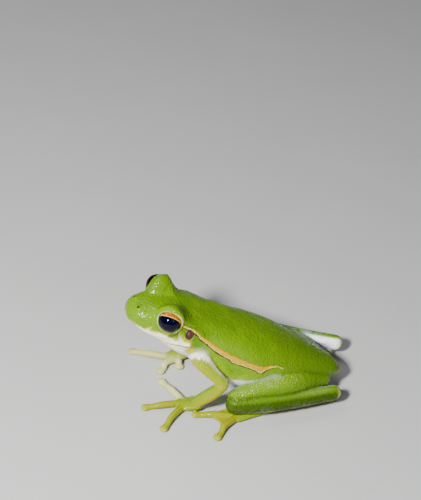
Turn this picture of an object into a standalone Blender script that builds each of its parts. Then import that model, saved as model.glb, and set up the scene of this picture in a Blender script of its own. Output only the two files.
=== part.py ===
"""A Montevideo tree frog at rest, life size: it sits with its front raised and its hind legs folded.

The frog faces -X, its left side is towards -Y, and the floor under its fingers, toes and tarsi is z = 0.
All sizes below are millimetres. The finished pieces are scaled to metres at the end.
"""

import bisect
import math

import bmesh
import bpy
import numpy as np
from mathutils import Matrix, Vector

MM = 0.001
GAP = 0.3  # left between nodes that touch
BODY_SIDES = 24
LIMB_SIDES = 12
DIGIT_SIDES = 8
SIDES = {"left": -1.0, "right": 1.0}

# Stations along the spine: place along it, x, y, z, half width, height above and depth below the
# widest line, squareness of the back and of the belly (2 is an ellipse), and roll in degrees.
SPINE = (
    (0.0, -22.0, -1.32, 19.65, 1.2, 0.8, 0.9, 2.2, 2.2, 2.0),
    (0.7, -21.5, -1.22, 19.5, 2.3, 1.55, 1.55, 2.3, 2.2, 2.0),
    (2.0, -20.3, -0.98, 19.2, 3.5, 2.3, 2.3, 2.5, 2.2, 2.0),
    (4.5, -17.9, -0.55, 18.5, 4.9, 3.1, 3.2, 2.6, 2.2, 2.0),
    (8.0, -14.6, -0.05, 17.4, 5.8, 3.7, 4.45, 2.6, 2.25, 2.0),
    (12.0, -10.9, 0.25, 16.0, 6.8, 3.8, 5.5, 2.4, 2.4, 1.0),
    (16.0, -7.2, 0.25, 14.3, 6.5, 4.1, 5.7, 2.2, 2.3, 0.0),
    (20.0, -3.6, 0.1, 12.6, 7.0, 4.5, 7.2, 2.2, 2.8, 0.0),
    (27.0, 2.8, 0.0, 9.8, 7.6, 4.8, 7.2, 2.3, 3.0, 0.0),
    (34.0, 9.2, 0.0, 7.3, 6.5, 4.1, 5.2, 2.3, 2.7, 0.0),
    (40.0, 14.9, 0.0, 5.5, 4.4, 2.9, 3.4, 2.2, 2.4, 0.0),
    (44.0, 18.5, 0.0, 4.6, 2.5, 1.8, 2.1, 2.1, 2.1, 0.0),
    (45.4, 19.8, 0.0, 4.3, 1.1, 0.8, 0.9, 2.0, 2.0, 0.0),
)
NECK = 14.4  # where the head meets the trunk
TAIL = 45.4
HEAD_RINGS = 14
TRUNK_RINGS = 12

# Eyes, lids, eardrums, nostrils and mouth, placed by station and by angle above the widest line.
EYE_PLACE = {"left": 6.9, "right": 6.3}
EYE_SIDE = 4.85
EYE_HEIGHT = {"left": 2.35, "right": 2.75}
EYE_RADIUS = 2.3
GAZE = (0.4, 0.9, 0.15)  # forward, outward, upward
LID_RADIUS = 2.95
LID_SINK = 0.25
LID_RISE = {"left": 0.0, "right": 0.4}  # upward, over the eye
LID_OPENING = 2.05
EAR_PLACE = 11.5
EAR_ANGLE = 19.0
EAR_RADIUS = 0.85
EAR_THICKNESS = 0.6
NOSTRIL_PLACE = 1.6
NOSTRIL_ANGLE = 67.0
MOUTH = (
    (0.5, -82.0),
    (0.8, -70.0),
    (1.1, -62.0),
    (1.7, -54.0),
    (2.7, -48.0),
    (4.0, -44.0),
    (5.0, -42.0),
    (5.9, -40.7),
    (7.1, -38.0),
    (8.2, -33.0),
    (9.0, -27.0),
    (9.9, -20.9),
    (10.9, -14.5),
    (12.5, -9.5),
)
MOUTH_DEPTH = 0.5
MOUTH_GAP = 0.3

# Limbs: points along each one, with the section's half width and half height.
UPPER_ARM = {
    "left": ((-9.0, -4.0, 12.8, 2.0, 2.0), (-7.8, -6.8, 11.4, 1.6, 1.45), (-3.9, -9.5, 8.4, 1.0, 1.0)),
    "right": ((-7.6, 4.2, 12.6, 2.2, 2.2), (-7.0, 7.8, 10.6, 1.8, 1.7), (-4.2, 10.4, 7.2, 1.3, 1.25)),
}
FOREARM = {
    "left": ((-3.8, -9.6, 7.9, 1.0, 1.0), (-5.2, -8.95, 4.9, 1.8, 1.8), (-7.9, -7.5, 2.1, 1.5, 1.4)),
    "right": ((-4.2, 10.4, 6.9, 1.3, 1.3), (-6.6, 9.5, 4.7, 1.9, 1.9), (-9.8, 8.0, 2.1, 1.4, 1.3)),
}
PALM = {
    "left": ((-8.0, -7.4, 1.6, 1.4, 1.0), (-9.8, -6.7, 1.0, 1.8, 0.9), (-11.3, -6.3, 0.75, 1.5, 0.7)),
    "right": ((-9.8, 8.0, 1.6, 1.3, 1.0), (-11.4, 7.8, 1.0, 1.7, 0.9), (-12.7, 7.7, 0.75, 1.4, 0.7)),
}
THIGH = {
    "left": (
        (16.1, -2.9, 3.9, 1.9, 1.9),
        (9.5, -5.8, 5.7, 2.8, 2.7),
        (3.2, -7.6, 5.1, 2.3, 2.3),
        (-1.0, -8.9, 4.3, 1.8, 1.7),
    ),
    "right": (
        (17.2, 3.0, 3.7, 2.1, 2.1),
        (11.0, 6.8, 5.4, 2.8, 2.7),
        (5.5, 10.2, 5.0, 2.3, 2.3),
        (2.0, 12.2, 4.3, 1.8, 1.7),
    ),
}
SHANK = {
    "left": (
        (-1.4, -9.9, 3.4, 1.7, 1.75),
        (4.5, -9.4, 3.5, 1.85, 1.85),
        (12.0, -7.8, 3.3, 1.6, 1.65),
        (18.4, -6.0, 3.1, 1.4, 1.45),
    ),
    "right": (
        (1.6, 13.4, 3.4, 1.7, 1.75),
        (7.5, 12.8, 3.4, 1.9, 1.9),
        (14.6, 11.0, 3.2, 1.7, 1.75),
        (21.0, 9.4, 3.2, 1.5, 1.55),
    ),
}
TARSUS = {
    "left": ((18.4, -4.9, 1.2, 0.95, 0.95), (14.0, -5.6, 0.85, 0.9, 0.9), (8.0, -7.0, 0.8, 0.95, 0.85)),
    "right": ((19.6, 8.8, 1.2, 0.95, 0.95), (16.0, 9.4, 0.85, 0.9, 0.9), (10.6, 11.0, 0.8, 0.95, 0.85)),
}
INSTEP = {
    "left": ((8.0, -7.0, 0.8, 0.95, 0.85), (3.0, -8.6, 0.8, 1.3, 0.85), (-0.9, -9.8, 0.7, 1.7, 0.75)),
    "right": ((10.6, 11.0, 0.8, 0.95, 0.85), (5.8, 13.4, 0.8, 1.3, 0.85), (1.9, 14.7, 0.7, 1.7, 0.75)),
}

# Digits: where each leaves the palm or instep, the middle of its pad on the floor, and its bend.
FINGERS = {
    "left": (
        ((-9.2, -6.0), (-8.7, -4.4), 0.0),
        ((-10.8, -5.4), (-14.4, 0.7), 0.2),
        ((-11.6, -6.2), (-18.1, -7.0), 0.3),
        ((-10.9, -7.3), (-14.9, -13.1), -0.2),
    ),
    "right": (
        ((-10.8, 6.9), (-10.6, 5.1), 0.0),
        ((-11.9, 6.9), (-14.5, 3.7), -0.3),
        ((-12.8, 7.8), (-19.8, 10.0), 0.35),
        ((-11.6, 9.0), (-10.8, 14.0), 0.3),
    ),
}
TOES = {
    "left": (
        ((1.4, -8.4), (2.6, -5.4), 0.0),
        ((0.3, -8.6), (0.6, -4.6), 0.2),
        ((-0.8, -8.9), (-1.5, -4.4), 0.3),
        ((-2.0, -9.9), (-8.6, -9.1), 0.2),
        ((-1.3, -10.8), (-5.0, -15.6), -0.3),
    ),
    "right": (
        ((4.2, 13.2), (5.4, 10.2), 0.0),
        ((3.1, 13.4), (3.2, 9.4), -0.2),
        ((2.0, 13.7), (0.9, 9.2), -0.3),
        ((0.8, 14.6), (-5.8, 14.4), -0.2),
        ((1.4, 15.8), (-2.2, 20.4), 0.3),
    ),
}
DIGIT_RADIUS = 0.64
DIGIT_ARCH = 1.0  # height of a digit's middle
PAD_WIDTH = 0.85
PAD_HEIGHT = 0.5
PAD_LEVEL = 0.42
FREE_FROM = {"finger": 0.34, "toe": 0.42}  # share of a digit that stays with the hand or foot
WEB_THICKNESS = 0.52
WEB_HOLLOW = 0.3  # how far the web draws in between two digits


def smooth_row(rows, at):
    """The row at a place, on a smooth curve through rows whose first value is their place."""
    table = np.array(rows, float)
    places = list(table[:, 0])
    i = min(max(bisect.bisect_right(places, at) - 1, 0), len(places) - 2)
    span = places[i + 1] - places[i]
    u = (at - places[i]) / span

    def slope(j):
        a, b = max(j - 1, 0), min(j + 1, len(places) - 1)
        return (table[b] - table[a]) / (places[b] - places[a]) * span

    start = (2 * u**3 - 3 * u**2 + 1) * table[i] + (u**3 - 2 * u**2 + u) * slope(i)
    end = (3 * u**2 - 2 * u**3) * table[i + 1] + (u**3 - u**2) * slope(i + 1)
    return start + end


def numbered(rows):
    """Rows with their own order put before them as their place."""
    return tuple((float(i), *row) for i, row in enumerate(rows))


def frame_at(rows, at, roll=0.0):
    """Centre, direction along the rows, sideways and upward axes there."""
    step = 0.02
    centre = Vector(smooth_row(rows, at)[1:4])
    low, high = max(at - step, rows[0][0]), min(at + step, rows[-1][0])
    along = (Vector(smooth_row(rows, high)[1:4]) - Vector(smooth_row(rows, low)[1:4])).normalized()
    sideways = Vector((0, 0, 1)).cross(along).normalized()
    turn = Matrix.Rotation(math.radians(roll), 3, along)
    sideways = turn @ sideways
    return centre, along, sideways, along.cross(sideways)


def body_point(place, angle, grow=0.0):
    """A point on the head or trunk: angle 0 is the right side, 90 the back, -90 the belly."""
    _, _, _, _, wide, above, below, square_above, square_below, roll = smooth_row(SPINE, place)
    centre, _, sideways, upward = frame_at(SPINE, place, roll)
    c, s = math.cos(math.radians(angle)), math.sin(math.radians(angle))
    square = square_above if s > 0 else square_below
    high = above if s > 0 else below
    out = math.copysign(abs(c) ** (2 / square), c) * (wide + grow)
    up = math.copysign(abs(s) ** (2 / square), s) * (high + grow)
    return centre + sideways * out + upward * up


def body_normal(place, angle):
    """The direction straight out of the head or trunk at a point of its surface."""
    along = body_point(place + 0.05, angle) - body_point(place - 0.05, angle)
    around = body_point(place, angle + 0.5) - body_point(place, angle - 0.5)
    return around.cross(along).normalized()


def solid(name, rings, tips=(None, None)):
    """A closed mesh through rings of points. A tip closes its end in a point, otherwise it is flat."""
    bm = bmesh.new()
    loops = [[bm.verts.new(p) for p in ring] for ring in rings]
    count = len(loops[0])
    for low, high in zip(loops, loops[1:]):
        for i in range(count):
            bm.faces.new((low[i], low[(i + 1) % count], high[(i + 1) % count], high[i]))
    for loop, tip in ((loops[0], tips[0]), (loops[-1], tips[1])):
        if tip is None:
            bm.faces.new(loop)
            continue
        point = bm.verts.new(tip)
        for i in range(count):
            bm.faces.new((loop[i], loop[(i + 1) % count], point))
    bmesh.ops.recalc_face_normals(bm, faces=bm.faces)
    return linked(name, bm)


def linked(name, bm):
    """An object for a bmesh, in the frog's collection."""
    mesh = bpy.data.meshes.new(name)
    bmesh.ops.triangulate(bm, faces=bm.faces)
    bm.to_mesh(mesh)
    bm.free()
    made = bpy.data.objects.new(name, mesh)
    FROG.objects.link(made)
    return made


def body_piece(name, start, end, rings, tips, grow=0.0):
    """The stretch of the head and trunk between two places on the spine."""
    places = [start + (end - start) * i / (rings - 1) for i in range(rings)]
    if tips[0]:
        rounding = (0.0, 0.25, 0.7, 1.3, 2.1)
        rest = rings - len(rounding)
        places = list(rounding) + [3.0 + (end - 3.0) * i / (rest - 1) for i in range(rest)]
    angles = [360 * i / BODY_SIDES for i in range(BODY_SIDES)]
    loops = [[body_point(p, a, grow) for a in angles] for p in places]
    ends = []
    for place, tip, sign in ((places[0], tips[0], -1), (places[-1], tips[1], 1)):
        centre, along, _, _ = frame_at(SPINE, place)
        ends.append(centre + along * sign * (0.35 + grow) if tip else None)
    return solid(name, loops, ends)


def tube(name, rows, start=0.0, end=None, grow=0.0, sides=LIMB_SIDES, rings=7, domes=(True, True)):
    """A limb: ovals along a smooth line, with round or flat ends."""
    rows = numbered(rows)
    end = rows[-1][0] if end is None else end
    loops = []
    for i in range(rings):
        at = start + (end - start) * i / (rings - 1)
        centre, along, sideways, upward = frame_at(rows, at)
        wide, high = (v + grow for v in smooth_row(rows, at)[4:6])
        swells = [(0.0, 1.0)]
        if domes[0] and i == 0:
            swells = [(-0.85, 0.5), (-0.5, 0.85), (0.0, 1.0)]
        if domes[1] and i == rings - 1:
            swells = [(0.0, 1.0), (0.5, 0.85), (0.85, 0.5)]
        for forth, share in swells:
            middle = centre + along * forth * min(wide, high)
            loops.append(
                [
                    middle
                    + sideways * wide * share * math.cos(math.tau * k / sides)
                    + upward * high * share * math.sin(math.tau * k / sides)
                    for k in range(sides)
                ]
            )
    tips = []
    for dome, loop, at, sign in ((domes[0], loops[0], start, -1), (domes[1], loops[-1], end, 1)):
        _, along, _, _ = frame_at(rows, at)
        reach = min(smooth_row(rows, at)[4:6]) + grow
        middle = sum(loop, Vector()) / sides
        tips.append(middle + along * sign * 0.15 * reach if dome else None)
    return solid(name, loops, tips)


def ball(name, centre, radius, turns=18, rows=10, axis=Vector((0, 0, 1))):
    """A round ball whose poles lie on the axis."""
    bm = bmesh.new()
    bmesh.ops.create_uvsphere(bm, u_segments=turns, v_segments=rows, radius=radius)
    turn = Vector((0, 0, 1)).rotation_difference(axis).to_matrix().to_4x4()
    bmesh.ops.transform(bm, matrix=Matrix.Translation(centre) @ turn, verts=bm.verts)
    return linked(name, bm)


def cone(name, centre, axis, wide, narrow, length, sides=16):
    """A cone or rod along an axis, its wide end forward."""
    bm = bmesh.new()
    bmesh.ops.create_cone(
        bm, cap_ends=True, segments=sides, radius1=narrow, radius2=wide, depth=length
    )
    turn = Vector((0, 0, 1)).rotation_difference(axis).to_matrix().to_4x4()
    bmesh.ops.transform(bm, matrix=Matrix.Translation(centre) @ turn, verts=bm.verts)
    return linked(name, bm)


def baked(made):
    """Turns the object's modifiers into its mesh."""
    bpy.context.view_layer.update()
    graph = bpy.context.evaluated_depsgraph_get()
    mesh = bpy.data.meshes.new_from_object(made.evaluated_get(graph))
    old = made.data
    made.modifiers.clear()
    made.data = mesh
    bpy.data.meshes.remove(old)


def removed(tools):
    for tool in tools:
        mesh = tool.data
        bpy.data.objects.remove(tool)
        bpy.data.meshes.remove(mesh)


def cut(made, *tools):
    """Takes the tools away from the object, then removes them."""
    for tool in tools:
        knife = made.modifiers.new("cut", "BOOLEAN")
        knife.operation = "DIFFERENCE"
        knife.solver = "MANIFOLD"
        knife.object = tool
    baked(made)
    removed(tools)
    return made


def joined(made, *pieces):
    """One Boolean union of the object with closed pieces, which are then removed."""
    group = bpy.data.collections.new("joining")
    bpy.context.scene.collection.children.link(group)
    for piece in pieces:
        group.objects.link(piece)
        FROG.objects.unlink(piece)
    join = made.modifiers.new("join", "BOOLEAN")
    join.operation = "UNION"
    join.solver = "MANIFOLD"
    join.operand_type = "COLLECTION"
    join.collection = group
    baked(made)
    removed(pieces)
    bpy.data.collections.remove(group)
    return made


def sliced(made, point, normal):
    """Keeps what lies behind a plane and closes the cut with a flat face."""
    bm = bmesh.new()
    bm.from_mesh(made.data)
    geometry = bm.verts[:] + bm.edges[:] + bm.faces[:]
    found = bmesh.ops.bisect_plane(
        bm, geom=geometry, dist=1e-4, plane_co=point, plane_no=normal, clear_outer=True
    )
    edges = [e for e in found["geom_cut"] if isinstance(e, bmesh.types.BMEdge)]
    bmesh.ops.holes_fill(bm, edges=edges, sides=0)
    bmesh.ops.triangulate(bm, faces=bm.faces)
    bmesh.ops.recalc_face_normals(bm, faces=bm.faces)
    bm.to_mesh(made.data)
    bm.free()
    return made


def on_floor(made):
    """Levels what would reach below the floor."""
    return sliced(made, (0, 0, 0), (0, 0, -1))


def largest(made):
    """Keeps the largest closed surface of the mesh."""
    bm = bmesh.new()
    bm.from_mesh(made.data)
    islands, seen = [], set()
    for face in bm.faces:
        if face in seen:
            continue
        island, queue = [], [face]
        seen.add(face)
        while queue:
            here = queue.pop()
            island.append(here)
            for edge in here.edges:
                for other in edge.link_faces:
                    if other not in seen:
                        seen.add(other)
                        queue.append(other)
        islands.append(island)
    islands.sort(key=lambda faces: sum(f.calc_area() for f in faces))
    loose = [f for island in islands[:-1] for f in island]
    bmesh.ops.delete(bm, geom=loose, context="FACES")
    bm.to_mesh(made.data)
    bm.free()
    return made


def head_frame(place):
    return frame_at(SPINE, place, smooth_row(SPINE, place)[9])


def eye_centre(word):
    centre, _, sideways, upward = head_frame(EYE_PLACE[word])
    return centre + sideways * EYE_SIDE * SIDES[word] + upward * EYE_HEIGHT[word]


def gaze(word):
    _, along, sideways, upward = head_frame(EYE_PLACE[word])
    forward, outward, up = GAZE
    return (-along * forward + sideways * SIDES[word] * outward + upward * up).normalized()


def lid_centre(word):
    upward = head_frame(EYE_PLACE[word])[3]
    return eye_centre(word) - gaze(word) * LID_SINK + upward * LID_RISE[word]


def side_angle(side, angle):
    """The same angle on the right side, or mirrored on the left."""
    return angle if side > 0 else 180 - angle


def mouth_cutter():
    """A thin curved slot that follows the lips from one corner of the mouth to the other."""
    path = [(p, side_angle(-1, angle)) for p, angle in reversed(MOUTH)] + list(MOUTH)
    rings = []
    points = [body_point(p, a) for p, a in path]
    for i, (place, angle) in enumerate(path):
        before, after = points[max(i - 1, 0)], points[min(i + 1, len(points) - 1)]
        along = (after - before).normalized()
        out = body_normal(place, angle) if place > 1.5 else (points[i] - frame_at(SPINE, 2.6)[0])
        out = (out - along * out.dot(along)).normalized()
        across = along.cross(out)
        deep, proud, half = out * MOUTH_DEPTH, out * 0.5, across * MOUTH_GAP / 2
        here = points[i]
        rings.append([here - deep - half, here + proud - half, here + proud + half, here - deep + half])
    return solid("mouth_slot", rings)


def make_head():
    head = body_piece("head", 0.0, NECK - GAP / 2, HEAD_RINGS, (True, False))
    lids, cutters = [], []
    for word, side in SIDES.items():
        centre, look = eye_centre(word), gaze(word)
        lids.append(ball("lid", lid_centre(word), LID_RADIUS, axis=look))
        cutters.append(ball("socket", centre, EYE_RADIUS + GAP, axis=look))
        cutters.append(cone("opening", centre + look * 3, look, LID_OPENING, LID_OPENING, 4.0, 20))
        angle = side_angle(side, EAR_ANGLE)
        spot, out = body_point(EAR_PLACE, angle), body_normal(EAR_PLACE, angle)
        ear_hole = EAR_RADIUS + GAP
        cutters.append(cone("ear_hole", spot, out, ear_hole, ear_hole, 2 * EAR_THICKNESS + GAP, 16))
        angle = side_angle(side, NOSTRIL_ANGLE)
        spot, out = body_point(NOSTRIL_PLACE, angle), body_normal(NOSTRIL_PLACE, angle)
        cutters.append(cone("nostril", spot, out, 0.34, 0.14, 1.0, 8))
    joined(head, *lids)
    cut(head, mouth_cutter(), *cutters)
    return largest(head)


def make_eyes_and_ears():
    for word, side in SIDES.items():
        ball(f"eye_{word}", eye_centre(word), EYE_RADIUS, axis=gaze(word))
        angle = side_angle(side, EAR_ANGLE)
        spot, out = body_point(EAR_PLACE, angle), body_normal(EAR_PLACE, angle)
        middle = spot - out * (EAR_THICKNESS / 2 + 0.05)
        cone(f"ear_{word}", middle, out, EAR_RADIUS * 0.94, EAR_RADIUS, EAR_THICKNESS, 16)


def body_tool():
    """The head and trunk as one piece, grown by the gap."""
    return body_piece("tool", 5.0, TAIL, HEAD_RINGS + TRUNK_RINGS, (False, True), GAP)


def digit_rows(root, pad, bend):
    """A finger or toe: it leaves the palm, arches a little and ends in a flat round pad."""
    start, end = Vector((*root, 0.75)), Vector((*pad, PAD_LEVEL))
    along = (end - start).normalized()
    middle = start.lerp(end, 0.5) + Vector((-along.y * bend, along.x * bend, DIGIT_ARCH - 0.6))
    neck = end - along * min(PAD_WIDTH * 1.5, (end - start).length * 0.3)
    tip = end + along * PAD_WIDTH * 0.35
    thin = DIGIT_RADIUS
    return (
        (*start, thin * 1.1, thin),
        (*middle, thin, thin),
        (*neck, thin * 0.92, thin * 0.8),
        (*end, PAD_WIDTH, PAD_HEIGHT),
        (*tip, PAD_WIDTH * 0.8, PAD_HEIGHT * 0.8),
    )


def web(all_rows, reach):
    """A thin skin that joins the first lengths of neighbouring digits, drawn in between them."""
    roots = [Vector(rows[0][:3]) for rows in all_rows]
    ends = [Vector(smooth_row(numbered(rows), reach)[1:4]) for rows in all_rows]
    centre = sum(roots, Vector()) / len(roots)
    outline = [centre + (centre - sum(ends, Vector()) / len(ends)).normalized() * 0.4]
    for i, (root, end) in enumerate(zip(roots, ends)):
        outline.append(end.lerp(root, 0.1))
        if i + 1 < len(roots):
            outline.append((end + ends[i + 1]).lerp(root + roots[i + 1], WEB_HOLLOW) / 2)
    half = Vector((0, 0, WEB_THICKNESS / 2))
    return solid("web", [[p - half for p in outline], [p + half for p in outline]])


def make_digits(kind, word, base, table):
    """Joins the first part of each digit and the webs to the base, and makes the free digits."""
    split = FREE_FROM[kind] * 4
    all_rows = [digit_rows(*digit) for digit in table]
    stems = [
        tube("stem", rows, 0.0, split, sides=DIGIT_SIDES, rings=3, domes=(False, False))
        for rows in all_rows
    ]
    webs = [web(all_rows, split)] if kind == "toe" else []
    joined(base, *stems, *webs)
    on_floor(largest(base))
    for i, rows in enumerate(all_rows, 1):
        span = (Vector(rows[1][:3]) - Vector(rows[0][:3])).length
        start = split + GAP / span
        free = tube(
            f"{kind}_{i}_{word}", rows, start, sides=DIGIT_SIDES, rings=6, domes=(False, True)
        )
        on_floor(free)


def make_front_leg(word):
    arm = tube(f"upper_arm_{word}", UPPER_ARM[word])
    cut(arm, body_tool())
    forearm = tube(f"forearm_{word}", FOREARM[word])
    cut(forearm, tube("tool", UPPER_ARM[word], grow=GAP))
    hand = tube(f"hand_{word}", PALM[word], rings=6)
    cut(hand, tube("tool", FOREARM[word], grow=GAP))
    make_digits("finger", word, hand, FINGERS[word])
    return largest(arm), largest(forearm)


def make_hind_leg(word):
    shank = tube(f"shank_{word}", SHANK[word], rings=9)
    thigh = tube(f"thigh_{word}", THIGH[word], rings=9, sides=16)
    cut(thigh, body_tool(), tube("tool", SHANK[word], rings=9, grow=GAP))
    tarsus = tube(f"tarsus_{word}", TARSUS[word], sides=10)
    cut(
        tarsus,
        tube("tool", SHANK[word], rings=9, grow=GAP),
        tube("tool", THIGH[word], rings=9, sides=16, grow=GAP),
        body_tool(),
    )
    foot = tube(f"foot_{word}", INSTEP[word], rings=8, sides=10)
    cut(
        foot,
        tube("tool", TARSUS[word], sides=10, grow=GAP),
        tube("tool", SHANK[word], rings=9, grow=GAP),
    )
    make_digits("toe", word, foot, TOES[word])
    for piece in (largest(tarsus), largest(shank), largest(thigh)):
        on_floor(piece)


def painted(made, colour, roughness):
    material = bpy.data.materials.new(made.name)
    material.use_nodes = True
    shader = material.node_tree.nodes["Principled BSDF"]
    shader.inputs["Base Color"].default_value = (*colour, 1.0)
    shader.inputs["Roughness"].default_value = roughness
    made.data.materials.clear()
    made.data.materials.append(material)


COLOURS = {
    "eye": ((0.02, 0.015, 0.03), 0.08),
    "ear": ((0.13, 0.05, 0.02), 0.5),
    "finger": ((0.62, 0.62, 0.05), 0.4),
    "toe": ((0.62, 0.62, 0.05), 0.4),
    "hand": ((0.5, 0.58, 0.03), 0.4),
    "foot": ((0.5, 0.58, 0.03), 0.4),
    "": ((0.22, 0.45, 0.02), 0.38),
}


def finished():
    """Colours each node, sets the origin under the middle of the frog and scales it to metres."""
    corners = [v.co for made in FROG.objects for v in made.data.vertices]
    low = [min(c[i] for c in corners) for i in range(3)]
    high = [max(c[i] for c in corners) for i in range(3)]
    middle = Vector(((low[0] + high[0]) / 2, (low[1] + high[1]) / 2, low[2]))
    for made in FROG.objects:
        made.data.transform(Matrix.Scale(MM, 4) @ Matrix.Translation(-middle))
        made.data.shade_smooth()
        kind = next(k for k in COLOURS if made.name.startswith(k))
        painted(made, *COLOURS[kind])


for old in list(bpy.data.objects):
    bpy.data.objects.remove(old)
FROG = bpy.data.collections.new("tree_frog")
bpy.context.scene.collection.children.link(FROG)

make_head()
make_eyes_and_ears()
body_piece("trunk", NECK + GAP / 2, TAIL, TRUNK_RINGS, (False, True))
for side_word in SIDES:
    make_front_leg(side_word)
    make_hind_leg(side_word)
finished()
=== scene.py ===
import math
from types import SimpleNamespace

import bmesh
import bpy
import numpy as np
from mathutils import Matrix, Vector


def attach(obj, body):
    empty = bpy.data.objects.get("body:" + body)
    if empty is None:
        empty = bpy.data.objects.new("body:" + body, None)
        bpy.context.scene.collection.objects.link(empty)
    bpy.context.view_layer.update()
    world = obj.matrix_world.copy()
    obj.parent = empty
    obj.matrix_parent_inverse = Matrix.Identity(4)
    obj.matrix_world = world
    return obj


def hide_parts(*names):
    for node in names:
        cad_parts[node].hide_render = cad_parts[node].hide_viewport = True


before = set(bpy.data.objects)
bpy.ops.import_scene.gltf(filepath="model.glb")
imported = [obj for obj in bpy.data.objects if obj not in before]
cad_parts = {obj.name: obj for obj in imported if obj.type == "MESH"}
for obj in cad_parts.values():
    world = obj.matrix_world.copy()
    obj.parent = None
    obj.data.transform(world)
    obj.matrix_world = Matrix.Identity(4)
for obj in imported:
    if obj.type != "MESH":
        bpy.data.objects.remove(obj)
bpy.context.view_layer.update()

# The frog is modelled in millimetres, facing -X with its left side towards -Y, and is moved and
# scaled to the frame at the end.
MM = 0.001
MIDDLE = np.array((0.0526, 2.4005, 0.0))
VOXEL = 0.13
SIDES = {"left": -1.0, "right": 1.0}

# A first guess of the place along the spine, from the place in X.
SNOUT_X = 22.3
SPINE_SLANT = 1.08
# Stations along the spine: place along it, x, y, z, half width, height above and depth below the
# widest line, squareness of the back and of the belly, and roll in degrees.
SPINE = np.array((
    (0.0, -22.2, -1.34, 19.68, 0.25, 0.17, 0.17, 2.0, 2.0, 2.0),
    (0.12, -22.12, -1.33, 19.66, 1.0, 0.66, 0.68, 2.1, 2.1, 2.0),
    (0.35, -21.92, -1.29, 19.6, 1.66, 1.1, 1.12, 2.2, 2.2, 2.0),
    (0.7, -21.6, -1.22, 19.5, 2.3, 1.5, 1.52, 2.3, 2.2, 2.0),
    (2.0, -20.3, -0.98, 19.2, 3.5, 2.3, 2.3, 2.5, 2.2, 2.0),
    (4.5, -17.9, -0.55, 18.5, 4.9, 3.1, 3.2, 2.6, 2.2, 2.0),
    (8.0, -14.6, -0.05, 17.4, 5.8, 3.7, 4.45, 2.6, 2.25, 2.0),
    (12.0, -10.9, 0.25, 16.0, 6.8, 3.8, 5.5, 2.4, 2.4, 1.0),
    (16.0, -7.2, 0.25, 14.3, 6.5, 4.1, 5.7, 2.2, 2.3, 0.0),
    (20.0, -3.6, 0.1, 12.6, 7.0, 4.5, 7.2, 2.2, 2.8, 0.0),
    (27.0, 2.8, 0.0, 9.8, 7.6, 4.8, 7.2, 2.3, 3.0, 0.0),
    (34.0, 9.2, 0.0, 7.3, 6.5, 4.1, 5.2, 2.3, 2.7, 0.0),
    (40.0, 14.9, 0.0, 5.5, 4.4, 2.9, 3.4, 2.2, 2.4, 0.0),
    (44.0, 18.5, 0.0, 4.6, 2.5, 1.8, 2.1, 2.1, 2.1, 0.0),
    (45.4, 19.8, 0.0, 4.3, 1.1, 0.8, 0.9, 2.0, 2.0, 0.0),
))
EYE_PLACE = {"left": 6.9, "right": 6.3}
EYE_SIDE = 4.85
EYE_HEIGHT = {"left": 2.35, "right": 2.75}
EYE_RADIUS = 2.3
GAZE = (0.4, 0.9, 0.15)
LID_RADIUS = 2.95
LID_SINK = 0.25
LID_RISE = {"left": 0.0, "right": 0.55}
LID_AHEAD = {"left": 0.0, "right": 0.4}
# Degrees beyond the lids' edge over which they lie on the eye, and over which they leave it.
LID_CLOSE = {"left": (13.0, 14.0, 28.0), "right": (17.0, 14.0, 80.0)}
EAR_PLACE = 11.5
EAR_ANGLE = 19.0
NOSTRIL_PLACE = 1.6
NOSTRIL_ANGLE = 67.0
MOUTH = np.array((
    (0.5, -90), (0.62, -78), (1, -64), (1.7, -54), (2.7, -48), (4, -44), (5, -42), (5.9, -40.7),
    (7.1, -38), (8.2, -33), (9, -27), (9.9, -20.9), (10.9, -14.5), (12.5, -9.5),
))

UPPER_ARM = {
    "left": ((-9.0, -4.0, 12.8, 2.0, 2.0), (-7.8, -6.8, 11.4, 1.6, 1.45), (-3.9, -9.5, 8.4, 1.0, 1.0)),
    "right": ((-7.6, 4.2, 12.6, 2.2, 2.2), (-7.0, 7.8, 10.6, 1.8, 1.7), (-4.2, 10.4, 7.2, 1.3, 1.25)),
}
FOREARM = {
    "left": ((-3.9, -9.6, 7.9, 1.0, 1.0), (-5.8, -8.95, 5.5, 1.2, 1.3), (-8.1, -7.5, 2.3, 1.2, 1.2)),
    "right": ((-4.2, 10.4, 6.9, 1.3, 1.3), (-6.6, 9.5, 4.7, 1.9, 1.9), (-9.8, 8.0, 2.1, 1.4, 1.3)),
}
PALM = {
    "left": ((-8.0, -7.4, 1.6, 1.4, 1.0), (-9.8, -6.7, 1.0, 1.8, 0.9), (-11.3, -6.3, 0.75, 1.5, 0.7)),
    "right": ((-9.8, 8.0, 1.6, 1.3, 1.0), (-11.4, 7.8, 1.0, 1.7, 0.9), (-12.7, 7.7, 0.75, 1.4, 0.7)),
}
THIGH = {
    "left": (
        (16.1, -2.9, 3.9, 1.9, 1.9),
        (9.5, -5.8, 5.7, 2.8, 2.7),
        (3.2, -7.6, 5.1, 2.3, 2.3),
        (-1.0, -8.9, 4.3, 1.8, 1.7),
    ),
    "right": (
        (17.2, 3.0, 3.7, 2.1, 2.1),
        (11.0, 6.8, 5.4, 2.8, 2.7),
        (5.5, 10.2, 5.0, 2.3, 2.3),
        (2.0, 12.2, 4.3, 1.8, 1.7),
    ),
}
SHANK = {
    "left": (
        (-1.4, -9.9, 3.4, 1.7, 1.75),
        (4.5, -9.4, 3.5, 1.85, 1.85),
        (12.0, -7.8, 3.3, 1.6, 1.65),
        (18.4, -6.0, 3.1, 1.4, 1.45),
    ),
    "right": (
        (1.6, 13.4, 3.4, 1.7, 1.75),
        (7.5, 12.8, 3.4, 1.9, 1.9),
        (14.6, 11.0, 3.2, 1.7, 1.75),
        (21.0, 9.4, 3.2, 1.5, 1.55),
    ),
}
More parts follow.
